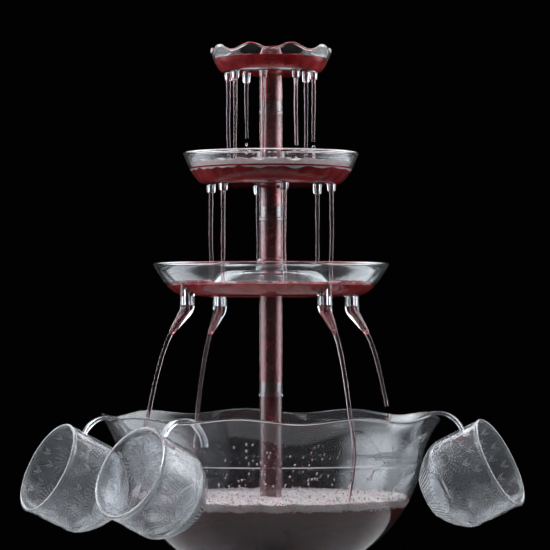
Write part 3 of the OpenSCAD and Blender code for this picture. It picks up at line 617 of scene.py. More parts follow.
def socket_below(joint_z):
    up = joint_z + SPIGOT_L + SPIGOT_PLAY
    return [(BORE_R, up, FINE_ROUND), (SOCKET_R, up, FINE_ROUND)]


def socket_above(collar_z):
    down = collar_z - SPIGOT_L - SPIGOT_PLAY
    return [(SOCKET_R, collar_z, FINE_ROUND), (SOCKET_R, down, FINE_ROUND), (BORE_R, down, FINE_ROUND)]


print("tubes of", TUBE_R * 2, "mm with a bore of", BORE_R * 2, "mm")

# %% The bottom dish
BOTTOM_FLAT_R = 66
BOTTOM_RIM_R = 98.8
BOTTOM_H = 27
BOTTOM_DISH = (BOTTOM_FLAT_R, BOTTOM_RIM_R, BOTTOM_H)
PLATEAU_R = 37
PLATEAU_FOOT_R = 62
PLATEAU_H = 21.4
PLATEAU_STEPS = 22


def plateau_top(r):
    share = min(1, max(0, (r - PLATEAU_R) / (PLATEAU_FOOT_R - PLATEAU_R)))
    return DISH_FLOOR + (PLATEAU_H - DISH_FLOOR) * (1 + math.cos(math.pi * share)) / 2


slope_r = spaced(PLATEAU_R, PLATEAU_FOOT_R, PLATEAU_STEPS)
plateau_z = bottom_z + PLATEAU_H
bottom_outline = stem_foot(lower_joint_z) + [(TUBE_R, plateau_z - DISH_FLOOR, STEM_FILLET)]
bottom_outline += [(r, bottom_z + plateau_top(r) - DISH_FLOOR) for r in slope_r]
bottom_outline += dish_wall(*BOTTOM_DISH, bottom_z)
bottom_outline += [(r, bottom_z + plateau_top(r)) for r in reversed(slope_r)]
bottom_outline += [(COLLAR_R + COLLAR_SPREAD, plateau_z, FLOOR_FILLET)]
bottom_outline += [(COLLAR_R, bottom_collar_z, COLLAR_ROUND)]
bottom_outline += socket_above(bottom_collar_z) + socket_below(lower_joint_z)
place("bottom_dish", turned_mesh("bottom_dish", rounded(bottom_outline)), clear_plastic,
      "bottom_tier", "clear_plastic", "bottom_tier")

# %% The middle dish
MIDDLE_FLAT_R = 50
MIDDLE_RIM_R = 73.6
MIDDLE_H = 26.5
MIDDLE_DISH = (MIDDLE_FLAT_R, MIDDLE_RIM_R, MIDDLE_H)
MIDDLE_COLLAR_SPREAD = 2.5
middle_floor_z = middle_z + DISH_FLOOR
middle_outline = stem_foot(middle_joint_z) + [(TUBE_R, middle_z, STEM_FILLET)]
middle_outline += dish_wall(*MIDDLE_DISH, middle_z)
middle_outline += [(COLLAR_R + MIDDLE_COLLAR_SPREAD, middle_floor_z, FLOOR_FILLET)]
middle_outline += [(COLLAR_R, middle_collar_z, COLLAR_ROUND)]
middle_outline += socket_above(middle_collar_z) + socket_below(middle_joint_z)
place("middle_dish", turned_mesh("middle_dish", rounded(middle_outline)), clear_plastic,
      "middle_tier", "clear_plastic", "middle_tier")

# %% The top dish with its scalloped rim
TOP_FLAT_R = 36.5
TOP_RIM_R = 50.8
TOP_H = 19.4
TOP_DISH = (TOP_FLAT_R, TOP_RIM_R, TOP_H)
TOP_EDGE = (DISH_WALL / 2, (-30, 210), 10)
SCALLOPS = 9
SCALLOP_H = 5
SCALLOP_CREST_DEG = -70
SCALLOP_FROM = 0.72
MOUTH_R = 7.5
MOUTH_ROUND = 0.5
scallop_z = TOP_H * SCALLOP_FROM ** DISH_CURVE
top_outline = stem_foot(upper_joint_z) + [(TUBE_R, top_z, STEM_FILLET)]
top_outline += dish_wall(*TOP_DISH, top_z, outside_end=0.985, inside_end=0.97, edge=TOP_EDGE)
top_outline += [(COLLAR_R + COLLAR_SPREAD, top_z + DISH_FLOOR, FLOOR_FILLET)]
top_outline += [(MOUTH_R, mouth_z, MOUTH_ROUND), (BORE_R, mouth_z, MOUTH_ROUND)]
top_outline += socket_below(upper_joint_z)
top_mesh = grown(
    "top_dish", wave_rule, turned_mesh("top_plain", rounded(top_outline), WAVED_STEPS),
    Waves=float(SCALLOPS), Height=SCALLOP_H * MM, Crest=math.radians(SCALLOP_CREST_DEG),
    Start=(top_z + scallop_z) * MM, Depth=(TOP_H - scallop_z) * MM, Inside=TOP_FLAT_R * MM)
place("top_dish", top_mesh, clear_plastic, "top_tier", "clear_plastic", "top_tier")

# %% [markdown]
# ## The riser's tubes
# Between the dishes stand plain thick-walled tubes. The upper end is turned down to a spigot that goes into
# the socket of the dish above, and the two upper tubes have a spigot at the bottom as well.

# %% The three tubes
TUBE_STEPS = 96


def tube_outline(from_z, to_z, spigot_below):
    low_z = from_z - SPIGOT_L
    high_z = to_z + SPIGOT_L
    outline = [(BORE_R, from_z, BORE_ROUND)]
    if spigot_below:
        outline = [(BORE_R, low_z, BORE_ROUND), (SPIGOT_R, low_z, SOFT_ROUND), (SPIGOT_R, from_z)]
    outline += [(TUBE_R, from_z, SOFT_ROUND), (TUBE_R, to_z, SOFT_ROUND), (SPIGOT_R, to_z)]
    outline += [(SPIGOT_R, high_z, SOFT_ROUND), (BORE_R, high_z, BORE_ROUND)]
    return rounded(outline)


tube_runs = {
    "lower_tube": ("tower", pump_top_z, lower_joint_z, False),
    "middle_tube": ("bottom_tier", bottom_collar_z, middle_joint_z, True),
    "upper_tube": ("middle_tier", middle_collar_z, upper_joint_z, True),
}
for node, (body, from_z, to_z, spigot_below) in tube_runs.items():
    tube_mesh = turned_mesh("riser_" + node, tube_outline(from_z, to_z, spigot_below), TUBE_STEPS)
    place("riser_" + node, tube_mesh, clear_plastic, body, "clear_plastic", node)

# %% [markdown]
# ## Nozzles and spout bosses
# Short round nozzles let the drink fall in thin strings: eight under the top dish, six under the middle one.
# Under the bottom dish four bosses with nipples carry the spouts. All of them stand evenly on a circle,
# so one rule of Geometry Nodes makes each set: it puts copies of the given shape on the points of a circle.

# %% The rule of the ring
ring_rule, given = new_rule("ring_of_copies", Count="Int", Radius="Float", Start="Float")
circle = add_step(
    ring_rule, "GeometryNodeMeshCircle", {"Vertices": given["Count"], "Radius": given["Radius"]})
turn = add_step(ring_rule, "ShaderNodeCombineXYZ", {"Z": given["Start"]})
turned = add_step(
    ring_rule, "GeometryNodeTransform", {"Geometry": circle.outputs[0], "Rotation": turn.outputs[0]})
copies = add_step(
    ring_rule, "GeometryNodeInstanceOnPoints", {"Points": turned.outputs[0], "Instance": given["Geometry"]})
end_rule(ring_rule, copies.outputs[0], clear_plastic)


def ring_of(name, mesh, count, circle_r, start_deg):
    return grown(name, ring_rule, mesh, Count=count, Radius=circle_r * MM, Start=math.radians(start_deg))


# %% Nozzles under the top and middle dishes
NOZZLE_L = 5.4
NOZZLE_BORE = 1.8
NOZZLE_SEAT = 0.5
NOZZLE_TAPER = 0.3
NOZZLE_ROUND = 0.5
NOZZLE_STEPS = 40
TOP_NOZZLES = 8
TOP_NOZZLE_CIRCLE = 36.4
TOP_NOZZLE_DEG = 260
TOP_NOZZLE_R = 3.35
TOP_NOZZLE_RING = (TOP_NOZZLES, TOP_NOZZLE_CIRCLE, TOP_NOZZLE_DEG)
MIDDLE_NOZZLES = 6
MIDDLE_NOZZLE_CIRCLE = 53.3
MIDDLE_NOZZLE_DEG = 282
MIDDLE_NOZZLE_R = 3.75
MIDDLE_NOZZLE_RING = (MIDDLE_NOZZLES, MIDDLE_NOZZLE_CIRCLE, MIDDLE_NOZZLE_DEG)


def nozzle_mesh(name, underside_z, radius):
    tip_z = underside_z - NOZZLE_L
    seat_z = underside_z + NOZZLE_SEAT
    outline = [(NOZZLE_BORE, tip_z, FINE_ROUND), (radius - NOZZLE_TAPER, tip_z, NOZZLE_ROUND)]
    outline += [(radius, seat_z), (NOZZLE_BORE, seat_z)]
    return turned_mesh(name, rounded(outline), NOZZLE_STEPS)


top_nozzles = ring_of("top_nozzles", nozzle_mesh("top_nozzle", top_z, TOP_NOZZLE_R), *TOP_NOZZLE_RING)
place("top_nozzles", top_nozzles, clear_plastic, "top_tier", "clear_plastic")
middle_nozzles = ring_of(
    "middle_nozzles", nozzle_mesh("middle_nozzle", middle_z, MIDDLE_NOZZLE_R), *MIDDLE_NOZZLE_RING)
place("middle_nozzles", middle_nozzles, clear_plastic, "middle_tier", "clear_plastic")

# %% Bosses and nipples for the spouts
SPOUTS = 4
SPOUT_CIRCLE = 82
SPOUT_DEG = 32.6
SPOUT_HUB_R = 6.05
SPOUT_HUB_L = 11
NIPPLE_R = 4
NIPPLE_L = 8
BOSS_H = 5.5
BOSS_STEPS = 48
LEVEL_GAP = 0.1
nipple_z = bottom_z - NIPPLE_L
boss_top_z = bottom_z + BOSS_H
boss_outline = [(NOZZLE_BORE, nipple_z, FINE_ROUND), (NIPPLE_R, nipple_z, SOFT_ROUND), (NIPPLE_R, bottom_z)]
boss_outline += [(SPOUT_HUB_R, bottom_z, BORE_ROUND), (SPOUT_HUB_R, boss_top_z), (NOZZLE_BORE, boss_top_z)]
boss_mesh = turned_mesh("spout_boss", rounded(boss_outline), BOSS_STEPS)
boss_mesh = ring_of("spout_bosses", boss_mesh, SPOUTS, SPOUT_CIRCLE, SPOUT_DEG)
for vertex in boss_mesh.vertices:
    if vertex.co.z > (boss_top_z - LEVEL_GAP) * MM:
        out = (math.hypot(vertex.co.x, vertex.co.y) / MM - BOTTOM_FLAT_R) / (BOTTOM_RIM_R - BOTTOM_FLAT_R)
        vertex.co.z = (bottom_z + NOZZLE_SEAT + BOTTOM_H * out ** DISH_CURVE) * MM
place("spout_bosses", boss_mesh, clear_plastic, "bottom_tier", "clear_plastic")

# %% [markdown]
# ## The spouts
# Each spout is an elbow that plugs on a nipple and can be turned. It is one tube that follows a bent path,
# thick at its hub and narrow at its tip, so it is swept: a ring of points is set square to the path at
# each station, out along the outside and back along the bore. Drink fills the bore.

# %% A helper that sweeps rings along a path
def swept_mesh(name, stations, side, sides):
    """A station is (centre, direction, radius), in millimetres. side is square to the path's plane."""
    verts = []
    for centre, direction, radius in stations:
        across = side.cross(direction).normalized()
        for index in range(sides):
            angle = math.tau * index / sides
            offset = across * math.cos(angle) + side * math.sin(angle)
            verts.append((centre + offset * radius) * MM)
    faces = []
    count = len(stations)
    for station in range(count):
        low = station * sides
        high = (station + 1) % count * sides
        for index in range(sides):
            after = (index + 1) % sides
            faces.append((low + index, low + after, high + after, high + index))
    return new_mesh(name, verts, faces=faces)


# %% The path and the stations of a spout
SPOUT_LEAN_DEG = 39
SPOUT_NOZZLE_L = 25
SPOUT_ROOT_R = 5.2
SPOUT_TAPER = ((0.4, 4.3), (0.7, 3.3), (0.97, 2.4), (1, 2.15))
SPOUT_BEND_STEPS = 8
SPOUT_BEND_R = 3
SPOUT_BEND_GAP = 1
HUB_EDGE = 0.2
NIPPLE_PLAY = 0.1


def spout_path(azimuth_deg):
    out = Vector((math.cos(math.radians(azimuth_deg)), math.sin(math.radians(azimuth_deg)), 0))
    hub = out * SPOUT_CIRCLE + Vector((0, 0, bottom_z))
    elbow = hub - Vector((0, 0, SPOUT_HUB_L))
    lean = math.radians(SPOUT_LEAN_DEG)
    aim = out * math.sin(lean) - Vector((0, 0, math.cos(lean)))
    down = Vector((0, 0, -1))
    path = [(hub, down), (hub + down * (SPOUT_HUB_L - SPOUT_BEND_R - SPOUT_BEND_GAP), down)]
    points = bend(elbow - down * SPOUT_BEND_R, elbow, elbow + aim * SPOUT_BEND_R, SPOUT_BEND_STEPS)
    for index, point in enumerate(points):
        path.append((point, down.lerp(aim, index / SPOUT_BEND_STEPS).normalized()))
    tip = elbow + aim * SPOUT_NOZZLE_L
    path += [(elbow.lerp(tip, share), aim) for share, radius in SPOUT_TAPER]
    return path, out, tip, aim


def spout_stations(path):
    outer = [SPOUT_HUB_R - HUB_EDGE, SPOUT_HUB_R]
    outer += spaced(SPOUT_HUB_R, SPOUT_ROOT_R, SPOUT_BEND_STEPS + 1)
    outer += [radius for share, radius in SPOUT_TAPER]
    bore = [NIPPLE_R + NIPPLE_PLAY] * 2 + [NOZZLE_BORE] * (len(path) - 2)
    stations = [(point, aim, radius) for (point, aim), radius in zip(path, outer)]
    stations += [(point, aim, radius) for (point, aim), radius in reversed(list(zip(path, bore)))]
    return stations


# %% The four spouts
SPOUT_SIDES = 40
FILL_SIDES = 20
FILL_OVER = 0.05
spout_names = ("spout_rear_right", "spout_rear_left", "spout_front_left", "spout_front_right")
spout_tips = {}
for index, name in enumerate(spout_names):
    path, out, tip, aim = spout_path(SPOUT_DEG + 360 / SPOUTS * index)
    side = Vector((-out.y, out.x, 0))
    spout_tips[name] = (tip, aim)
    spout_mesh = swept_mesh(name + "_elbow", spout_stations(path), side, SPOUT_SIDES)
    place(name + "_elbow", spout_mesh, clear_plastic, name, "clear_plastic", name)
    filled = [(*station, NOZZLE_BORE + FILL_OVER) for station in path[1:]]
    filled = [(*path[1], AXIS_GAP)] + filled + [(*path[-1], AXIS_GAP)]
    fill_mesh = swept_mesh(name + "_fill", filled, side, FILL_SIDES)
    place(name + "_fill", fill_mesh, riser_drink, name, "clear_plastic")

# %% [markdown]
# ## The punch cups
# The cups hang outside the bowl with their hooks over its rim. They are pressed like cut glass: rays run up
# from the foot, dotted stars stand round the middle, and small chevrons lie between the stars and the mouth.
# The wall is turned with many steps, and a rule of angle and height gives how far each outer point is
# pressed. The same number goes into an attribute, and the finish is frosted where it is high. The foot is
# frosted inside and outside, and the lip a little.

# %% The relief of the cup's wall
CUP_R = 39
CUP_RAYS = 56
RAY_CREST = (0.5, 1)
RAY_START = (1, 4)
RAY_END = (10, 17)
CUP_STARS = 6
STAR_Z = 33
STAR_R = 17
STAR_EDGE = 2
STAR_MIDDLE = (3, 5)
STAR_RAYS = 22
STAR_CREST = (0.55, 1)
STAR_CLEAR = 1
DOT_SPACING = 2.6
DOT_CREST = (-0.2, 0.6)
DOT_LOW = 0.25
CHEVRONS = 14
CHEVRON_Z = (47, 54)
CHEVRON_PAIR = (0, 2.2)
CHEVRON_SLOPE = 1.3
CHEVRON_LINE = 0.55
CHEVRON_ENDS = (0.15, 0.2)


def between(value, low, high):
    share = min(1, max(0, (value - low) / (high - low)))
    return share * share * (3 - 2 * share)


def stroke(distance, width):
    return math.exp(-(distance / width) ** 2)


def chevron_marks(angle, z):
    marks = 0
    span = math.tau * CUP_R / CHEVRONS
    for row, row_z in enumerate(CHEVRON_Z):
        along = (angle * CHEVRONS / math.tau + row / 2) % 1 - 0.5
        for nested in CHEVRON_PAIR:
            line_z = row_z + nested + abs(along) * span * CHEVRON_SLOPE
            marks += stroke(z - line_z, CHEVRON_LINE) * (1 - between(abs(along), *CHEVRON_ENDS))
    return marks


def cup_relief(angle, z):
    """How strongly the pattern is pressed at an angle and height, from 0 to 1."""
    rays = between(math.cos(CUP_RAYS * angle), *RAY_CREST) * between(z, *RAY_START)
    rays *= 1 - between(z, *RAY_END)
    star_turn = math.tau / CUP_STARS
    beside = ((angle / star_turn) % 1 - 0.5) * star_turn * CUP_R
    above = z - STAR_Z
    reach = math.hypot(beside, above)
    in_star = between(reach, *STAR_MIDDLE) * (1 - between(reach, STAR_R - STAR_EDGE, STAR_R))
    star = between(math.cos(STAR_RAYS * math.atan2(beside, above)), *STAR_CREST) * in_star
    dots = DOT_LOW + (1 - DOT_LOW) * between(math.cos(reach / DOT_SPACING * math.tau), *DOT_CREST)
    outside_star = 1 - between(STAR_R + STAR_CLEAR - reach, 0, STAR_EDGE)
    return min(1, rays + star * dots + chevron_marks(angle, z) * outside_star)


# %% The cup's outline
CUP_H = 66
CUP_WALL = 2
CUP_FLOOR = 3
CUP_FOOT_R = 20.6
CUP_FOOT_RING = ((5, 0.6), (3, 0.05), (1, 0))
CUP_FLOOR_BEND = 8
CUP_ROUND_H = 26
CUP_DRAFT = 0.4
CUP_SIDE_FROM = 0.7
CUP_LIP_BAND = 2.5
CUP_LIP_OVER = 0.5
CUP_LIP_DEG = (-20, 200)
CUP_LIP_STEPS = 10
CUP_ROUND_STEPS = 40
CUP_SIDE_STEPS = 54
CUP_INSIDE_STEPS = 6
CUP_INSIDE_GAP = 1
CUP_INSIDE_ROUND_STEPS = 20


def cup_outline():
    shoulder_r = CUP_R - CUP_DRAFT
    outer = []
    for z in spaced(0, CUP_ROUND_H, CUP_ROUND_STEPS):
        share = math.sin(math.pi / 2 * z / CUP_ROUND_H)
        outer.append((CUP_FOOT_R + (shoulder_r - CUP_FOOT_R) * share, z))
    for z in spaced(CUP_ROUND_H + CUP_SIDE_FROM, CUP_H - CUP_LIP_BAND, CUP_SIDE_STEPS):
        outer.append((shoulder_r + CUP_DRAFT * (z - CUP_ROUND_H) / (CUP_H - CUP_ROUND_H), z))
    half_wall = CUP_WALL / 2
    lip = arc(CUP_R - half_wall, CUP_H - half_wall, half_wall + CUP_LIP_OVER, *CUP_LIP_DEG, CUP_LIP_STEPS)
    inner = [(CUP_R - CUP_WALL, z) for z in spaced(CUP_H - CUP_LIP_BAND, CUP_ROUND_H, CUP_INSIDE_STEPS)]
    low_r = CUP_FOOT_R - CUP_WALL
    for z in spaced(CUP_ROUND_H - CUP_INSIDE_GAP, CUP_FLOOR, CUP_INSIDE_ROUND_STEPS):
        share = math.sin(math.pi / 2 * (z - CUP_FLOOR) / (CUP_ROUND_H - CUP_FLOOR))
        inner.append((low_r + (shoulder_r - CUP_WALL - low_r) * share, z))
    foot = [(0, CUP_FOOT_RING[0][1])] + [(CUP_FOOT_R - within, z) for within, z in CUP_FOOT_RING]
    return foot, outer, lip, inner + [(CUP_FOOT_R - CUP_FLOOR_BEND, CUP_FLOOR), (0, CUP_FLOOR)]


# %% The cup's mesh
CUP_STEPS = 480
RELIEF_H = 0.22
FOOT_FROST = 0.75
LIP_FROST = 0.3


def pressed_cup():
    foot, outer, lip, inner = cup_outline()
    mesh = turned_mesh("pressed_cup", foot + outer + lip + inner, CUP_STEPS)
    depth = [0.0] * len(mesh.vertices)
    outer_at = 1 + (len(foot) - 1) * CUP_STEPS
    lip_at = outer_at + len(outer) * CUP_STEPS
    inner_at = lip_at + len(lip) * CUP_STEPS
    floor_at = inner_at + (len(inner) - 2) * CUP_STEPS
    for index, vertex in enumerate(mesh.vertices):
        if index < outer_at or index >= floor_at:
            depth[index] = FOOT_FROST
        elif lip_at <= index < inner_at:
            depth[index] = LIP_FROST
        elif index < lip_at:
            angle = math.atan2(vertex.co.y, vertex.co.x)
            depth[index] = cup_relief(angle, vertex.co.z / MM)
            vertex.co += Vector((math.cos(angle), math.sin(angle), 0)) * depth[index] * RELIEF_H * MM
    mesh.attributes.new("pressed", "FLOAT", "POINT").data.foreach_set("value", depth)
    return mesh


# %% How a cup hangs
CUP_FOOT_X = -25.3
CUP_TILT_DEG = 26
ARCH_OUT = 2.097
ARCH_DOWN = 19.538
HOOK_W = 6.8


def in_metres(matrix):
    scaled = matrix.copy()
    scaled.translation = matrix.translation * MM
    return scaled


def rim_wave(azimuth_deg):
    return RIM_WAVE_H / 2 * math.cos(math.radians(RIM_WAVES * (azimuth_deg - RIM_CREST_DEG)))


def cup_place(azimuth_deg, yaw_deg):
    half_width = math.degrees(math.atan(HOOK_W / 2 / lip_r))
    lift = max(rim_wave(azimuth_deg + side * half_width) for side in (-1, 0, 1))
    turn = Matrix.Rotation(math.radians(azimuth_deg), 4, "Z")
    yaw = Matrix.Rotation(math.radians(yaw_deg), 4, "Z")
    tilt = Matrix.Rotation(math.radians(-CUP_TILT_DEG), 4, "Y")
    hang = Matrix.Translation((lip_r, 0, lip_z + lift))
    return turn @ hang @ yaw @ Matrix.Translation((ARCH_OUT, 0, -ARCH_DOWN)) @ tilt


# %% [markdown]
# ## The hook handles
# A flat band rises square from the wall and bends over in an open hook. Its section is a strip with rounded
# corners, which show as bright lines along both edges, and it is swept along an arc round the rim.

# %% The hook's mesh
HOOK_R = 22.7
HOOK_T = 2.8
HOOK_ROUND = 0.7
HOOK_ROOT = 1.6
HOOK_SWEEP_DEG = 152
HOOK_STEPS = 46


def hook_mesh(name, to_place):
    corners = ((-1, -1), (1, -1), (1, 1), (-1, 1))
    section = rounded([(thick * HOOK_T / 2, across * HOOK_W / 2, HOOK_ROUND) for across, thick in corners])
    stations = [(-HOOK_ROOT, 0)] + [(0, math.radians(a)) for a in spaced(0, HOOK_SWEEP_DEG, HOOK_STEPS)]
    verts = []
    for drop, angle in stations:
        for thick, across in section:
            radius = HOOK_R + thick
            point = Vector((radius * math.cos(angle), across, radius * math.sin(angle) + drop))
            verts.append(to_place @ point * MM)
    sides = len(section)
    faces = [list(range(sides))]
    for index in range(len(stations) - 1):
        low = index * sides
        high = low + sides
        for side in range(sides):
            after = (side + 1) % sides
            faces.append([low + side, high + side, high + after, low + after])
    last = (len(stations) - 1) * sides
    faces.append([last + side for side in reversed(range(sides))])
    return new_mesh(name, verts, faces=faces)


# %% The three cups
# Each cup has an azimuth on the rim and a yaw, in degrees.
cup_shape = pressed_cup()
lay_cup = Matrix(((0, 0, 1, CUP_FOOT_X), (1, 0, 0, 0), (0, 1, 0, -CUP_R), (0, 0, 0, 1)))
cup_hangers = {"cup_right": (-14.5, -6), "cup_left": (199.5, 8), "cup_front_left": (241, -21)}
for node, (azimuth_deg, yaw_deg) in cup_hangers.items():
    to_place = cup_place(azimuth_deg, yaw_deg)
    body_mesh = cup_shape.copy()
    body_mesh.name = node + "_body"
    body_mesh.transform(in_metres(to_place @ lay_cup))
    place(node + "_body", body_mesh, cup_plastic, node, "clear_plastic", node)
    place(node + "_hook", hook_mesh(node + "_hook", to_place), cup_plastic, node, "clear_plastic", node)

# %% [markdown]
# ## The drink in the dishes
# Each pool is a turned body that reaches a hair into the plastic around it. Two clear bodies that only touch
# leave a film of air that would mirror the light, and a small overlap avoids it.
# The surface isn't flat: falling streams keep it moving, so low ripples are pushed into its rings.

# %% Helpers for a pool
OVERLAP = 0.12
MENISCUS = 0.3
SHORE = 0.8
POOL_WALL_STEPS = 14
SURFACE_STEPS = 28
RIPPLES = ((0.31, 0.12, 0), (-0.17, 0.37, 1.3))
RING_RIPPLE = 0.5
CALM_EDGE = 4
TOP_LEVEL = top_z + 13
MIDDLE_LEVEL = middle_z + 15.5
BOTTOM_LEVEL = bottom_z + 10.5
BOWL_LEVEL = bowl_z + 62


def dish_pool_wall(flat_r, rim_r, high, under_z, level):
    inner_r = flat_r - DISH_WALL / 2
    wall = []
    for rise in spaced(DISH_FLOOR, level - under_z, POOL_WALL_STEPS):
        share = max(0, (rise - DISH_FLOOR) / (high - DISH_FLOOR)) ** (1 / DISH_CURVE)
        wall.append((inner_r + (rim_r - DISH_WALL - inner_r) * share + OVERLAP, under_z + rise))
    return wall


def rippled(mesh, level, height, inner_r, outer_r):
    """Moves the points of a pool's surface by crossing ripples that die out at its edges."""
    for vertex in mesh.vertices:
        if vertex.co.z < (level - MENISCUS) * MM:
            continue
        x = vertex.co.x / MM
        y = vertex.co.y / MM
        radius = math.hypot(x, y)
        fade = between(radius, inner_r, inner_r + CALM_EDGE)
        fade *= 1 - between(radius, outer_r - CALM_EDGE, outer_r)
        waves = [math.sin(x * along + y * across + shift) for along, across, shift in RIPPLES]
        waves.append(math.sin(radius * RING_RIPPLE))
        vertex.co.z += sum(waves) / len(waves) * height * fade * MM
    mesh.update()
    return mesh


def pool_mesh(name, under, wall, level, shore_r, ripple_h, calm_r, steps=SURFACE_STEPS, inside=()):
    """under and wall run out and up round the drink, and inside, if any, comes back below its surface."""
    wall_r = wall[-1][0]
    surface_z = level + MENISCUS
    surface = [(r, surface_z) for r in spaced(wall_r - SHORE, shore_r, steps)]
    outline = [*under, *wall, *surface, *inside]
    return rippled(turned_mesh(name, outline), surface_z, ripple_h, calm_r, wall_r)


# %% Pools in the three dishes
TOP_POOL_FROM = COLLAR_R + 1.0
MIDDLE_POOL_FROM = COLLAR_R + 2.2
SHORE_STEPS = 200
BED_STEPS = 10
top_wall = dish_pool_wall(*TOP_DISH, top_z, TOP_LEVEL)
top_pool_mesh = pool_mesh(
    "top_pool", [(TOP_POOL_FROM, top_z + DISH_FLOOR - OVERLAP)], top_wall, TOP_LEVEL,
    shore_r=COLLAR_R - 2.2, ripple_h=1.2, calm_r=10)
place("top_pool", top_pool_mesh, drink, "top_tier", "clear_plastic")

middle_wall = dish_pool_wall(*MIDDLE_DISH, middle_z, MIDDLE_LEVEL)
middle_pool_mesh = pool_mesh(
    "middle_pool", [(MIDDLE_POOL_FROM, middle_floor_z - OVERLAP)], middle_wall, MIDDLE_LEVEL,
    shore_r=COLLAR_R + 0.8, ripple_h=1.2, calm_r=13)
place("middle_pool", middle_pool_mesh, drink, "middle_tier", "clear_plastic")

bottom_rise = BOTTOM_LEVEL - bottom_z
shore_r = next(r for r in spaced(PLATEAU_FOOT_R, PLATEAU_R, SHORE_STEPS) if plateau_top(r) > bottom_rise)
bottom_bed = [(r, bottom_z + plateau_top(r) - OVERLAP) for r in spaced(shore_r, PLATEAU_FOOT_R, BED_STEPS)]
bottom_wall = dish_pool_wall(*BOTTOM_DISH, bottom_z, BOTTOM_LEVEL)
bottom_pool_mesh = pool_mesh(
    "bottom_pool", bottom_bed, bottom_wall, BOTTOM_LEVEL,
    shore_r=shore_r + 0.4, ripple_h=1.0, calm_r=shore_r)
place("bottom_pool", bottom_pool_mesh, drink, "bottom_tier", "clear_plastic")

# %% The pool in the bowl, round the pump
PUMP_GAP = 0.4
SLEEVE_GAP = 3.0
SLEEVE_DROP = 1
TUBE_GAP = 0.3
POOL_FLOOR_GAP = 0.2
POOL_WALL_FROM = 5
BOWL_POOL_STEPS = 40
pump_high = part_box("pump_cover")[1]
pump_r = pump_high.x / MM + PUMP_GAP
pump_high_z = pump_high.z / MM
sleeve_r = TUBE_R + SLEEVE_GAP
bowl_bed = [(pump_r, bowl_floor_z + POOL_FLOOR_GAP), (inner_foot_r - FLOOR_BEND, bowl_floor_z - OVERLAP)]
bowl_pool_levels = spaced(bowl_z + POOL_WALL_FROM, BOWL_LEVEL, BOWL_POOL_STEPS)
bowl_pool_wall = [beside_bowl(z, OVERLAP - BOWL_WALL) for z in bowl_pool_levels]
round_pump = [(TUBE_R + TUBE_GAP, pump_high_z + PUMP_GAP), (sleeve_r, pump_high_z + TUBE_GAP)]
round_pump += [(sleeve_r, pump_top_z + PUMP_GAP), (pump_r, pump_top_z - SLEEVE_DROP)]
bowl_pool_mesh = pool_mesh(
    "bowl_pool", bowl_bed, bowl_pool_wall, BOWL_LEVEL, shore_r=TUBE_R + TUBE_GAP, ripple_h=1.6, calm_r=12,
    steps=BOWL_POOL_STEPS, inside=round_pump)
place("bowl_pool", bowl_pool_mesh, deep_drink, "bowl", "clear_plastic")

# %% [markdown]
# ## The drink in the riser
# The bore is full of drink on its way up. Each body carries its own length of it, cut at the ends of the
# spigots, so that the fountain can still be taken apart. A darker core stands for the depth of the drink
# behind the bright edges of the tube. At the top the drink wells over the mouth.

# %% The column in each part of the riser
COLUMN_CUT = SPIGOT_L + 0.1
COLUMN_R = BORE_R + FILL_OVER
COLUMN_END = 2
COLUMN_RINGS = 12
COLUMN_RING_GAP = 1
COLUMN_STEPS = 64
CORE_R = 3.3
CORE_SWING = 0.15
CORE_SWING_RATE = 0.7
CORE_GAP = 0.2
CORE_RINGS = 40
CORE_STEPS = 48
column_ends = {
    "tower": (pump_top_z - COLUMN_END, lower_joint_z + COLUMN_CUT),
    "bottom_tier": (lower_joint_z + COLUMN_CUT, middle_joint_z + COLUMN_CUT),
    "middle_tier": (middle_joint_z + COLUMN_CUT, upper_joint_z + COLUMN_CUT),
    "top_tier": (upper_joint_z + COLUMN_CUT, mouth_z - COLUMN_END),
}
for body, (from_z, to_z) in column_ends.items():
    column = [(0, from_z), (COLUMN_R, from_z)]
    ring_levels = spaced(from_z + COLUMN_RING_GAP, to_z - COLUMN_RING_GAP, COLUMN_RINGS)
    column += [(COLUMN_R, z) for z in ring_levels]
    column += [(COLUMN_R, to_z), (0, to_z)]
    column_mesh = turned_mesh(body + "_column", column, COLUMN_STEPS)
    place(body + "_column", column_mesh, riser_drink, body, "clear_plastic")
    core_low = from_z + CORE_GAP
    core_high = to_z - CORE_GAP
    core = [(0, core_low), (CORE_R, core_low)]
    for z in spaced(core_low + CORE_GAP, core_high - CORE_GAP, CORE_RINGS):
        core.append((CORE_R + CORE_SWING * math.sin(z * CORE_SWING_RATE), z))
    core += [(CORE_R, core_high), (0, core_high)]
    place(body + "_core", turned_mesh(body + "_core", core, CORE_STEPS), riser_core, body, "clear_plastic")

# %% Drink that wells over the mouth
WELL_T = 1.2
WELL_STEP = 3
WELL_DOME = ((MOUTH_R + 1.0, -0.6), (MOUTH_R, 1.1), (5.2, 2.2), (2.6, 2.9), (0, 3.1))
WELL_THROAT = ((0, -COLUMN_END), (COLUMN_R, -COLUMN_END), (COLUMN_R, -0.3), (MOUTH_R - 0.3, -0.2))


def cone_r(z):
    share = (z - top_z - DISH_FLOOR) / (mouth_z - top_z - DISH_FLOOR)
    return COLLAR_R + COLLAR_SPREAD + (MOUTH_R - COLLAR_R - COLLAR_SPREAD) * share


well = [(cone_r(z) + WELL_T, z) for z in (TOP_LEVEL, TOP_LEVEL + WELL_STEP)]
well += [(r, mouth_z + up) for r, up in WELL_DOME + WELL_THROAT]
well += [(cone_r(TOP_LEVEL) - OVERLAP, TOP_LEVEL - LEVEL_GAP)]
well_mesh = turned_mesh("welling_mouth", well, TUBE_STEPS)
well_mesh = rippled(well_mesh, mouth_z, height=0.8, inner_r=-9, outer_r=14)
place("welling_mouth", well_mesh, riser_drink, "top_tier", "clear_plastic")

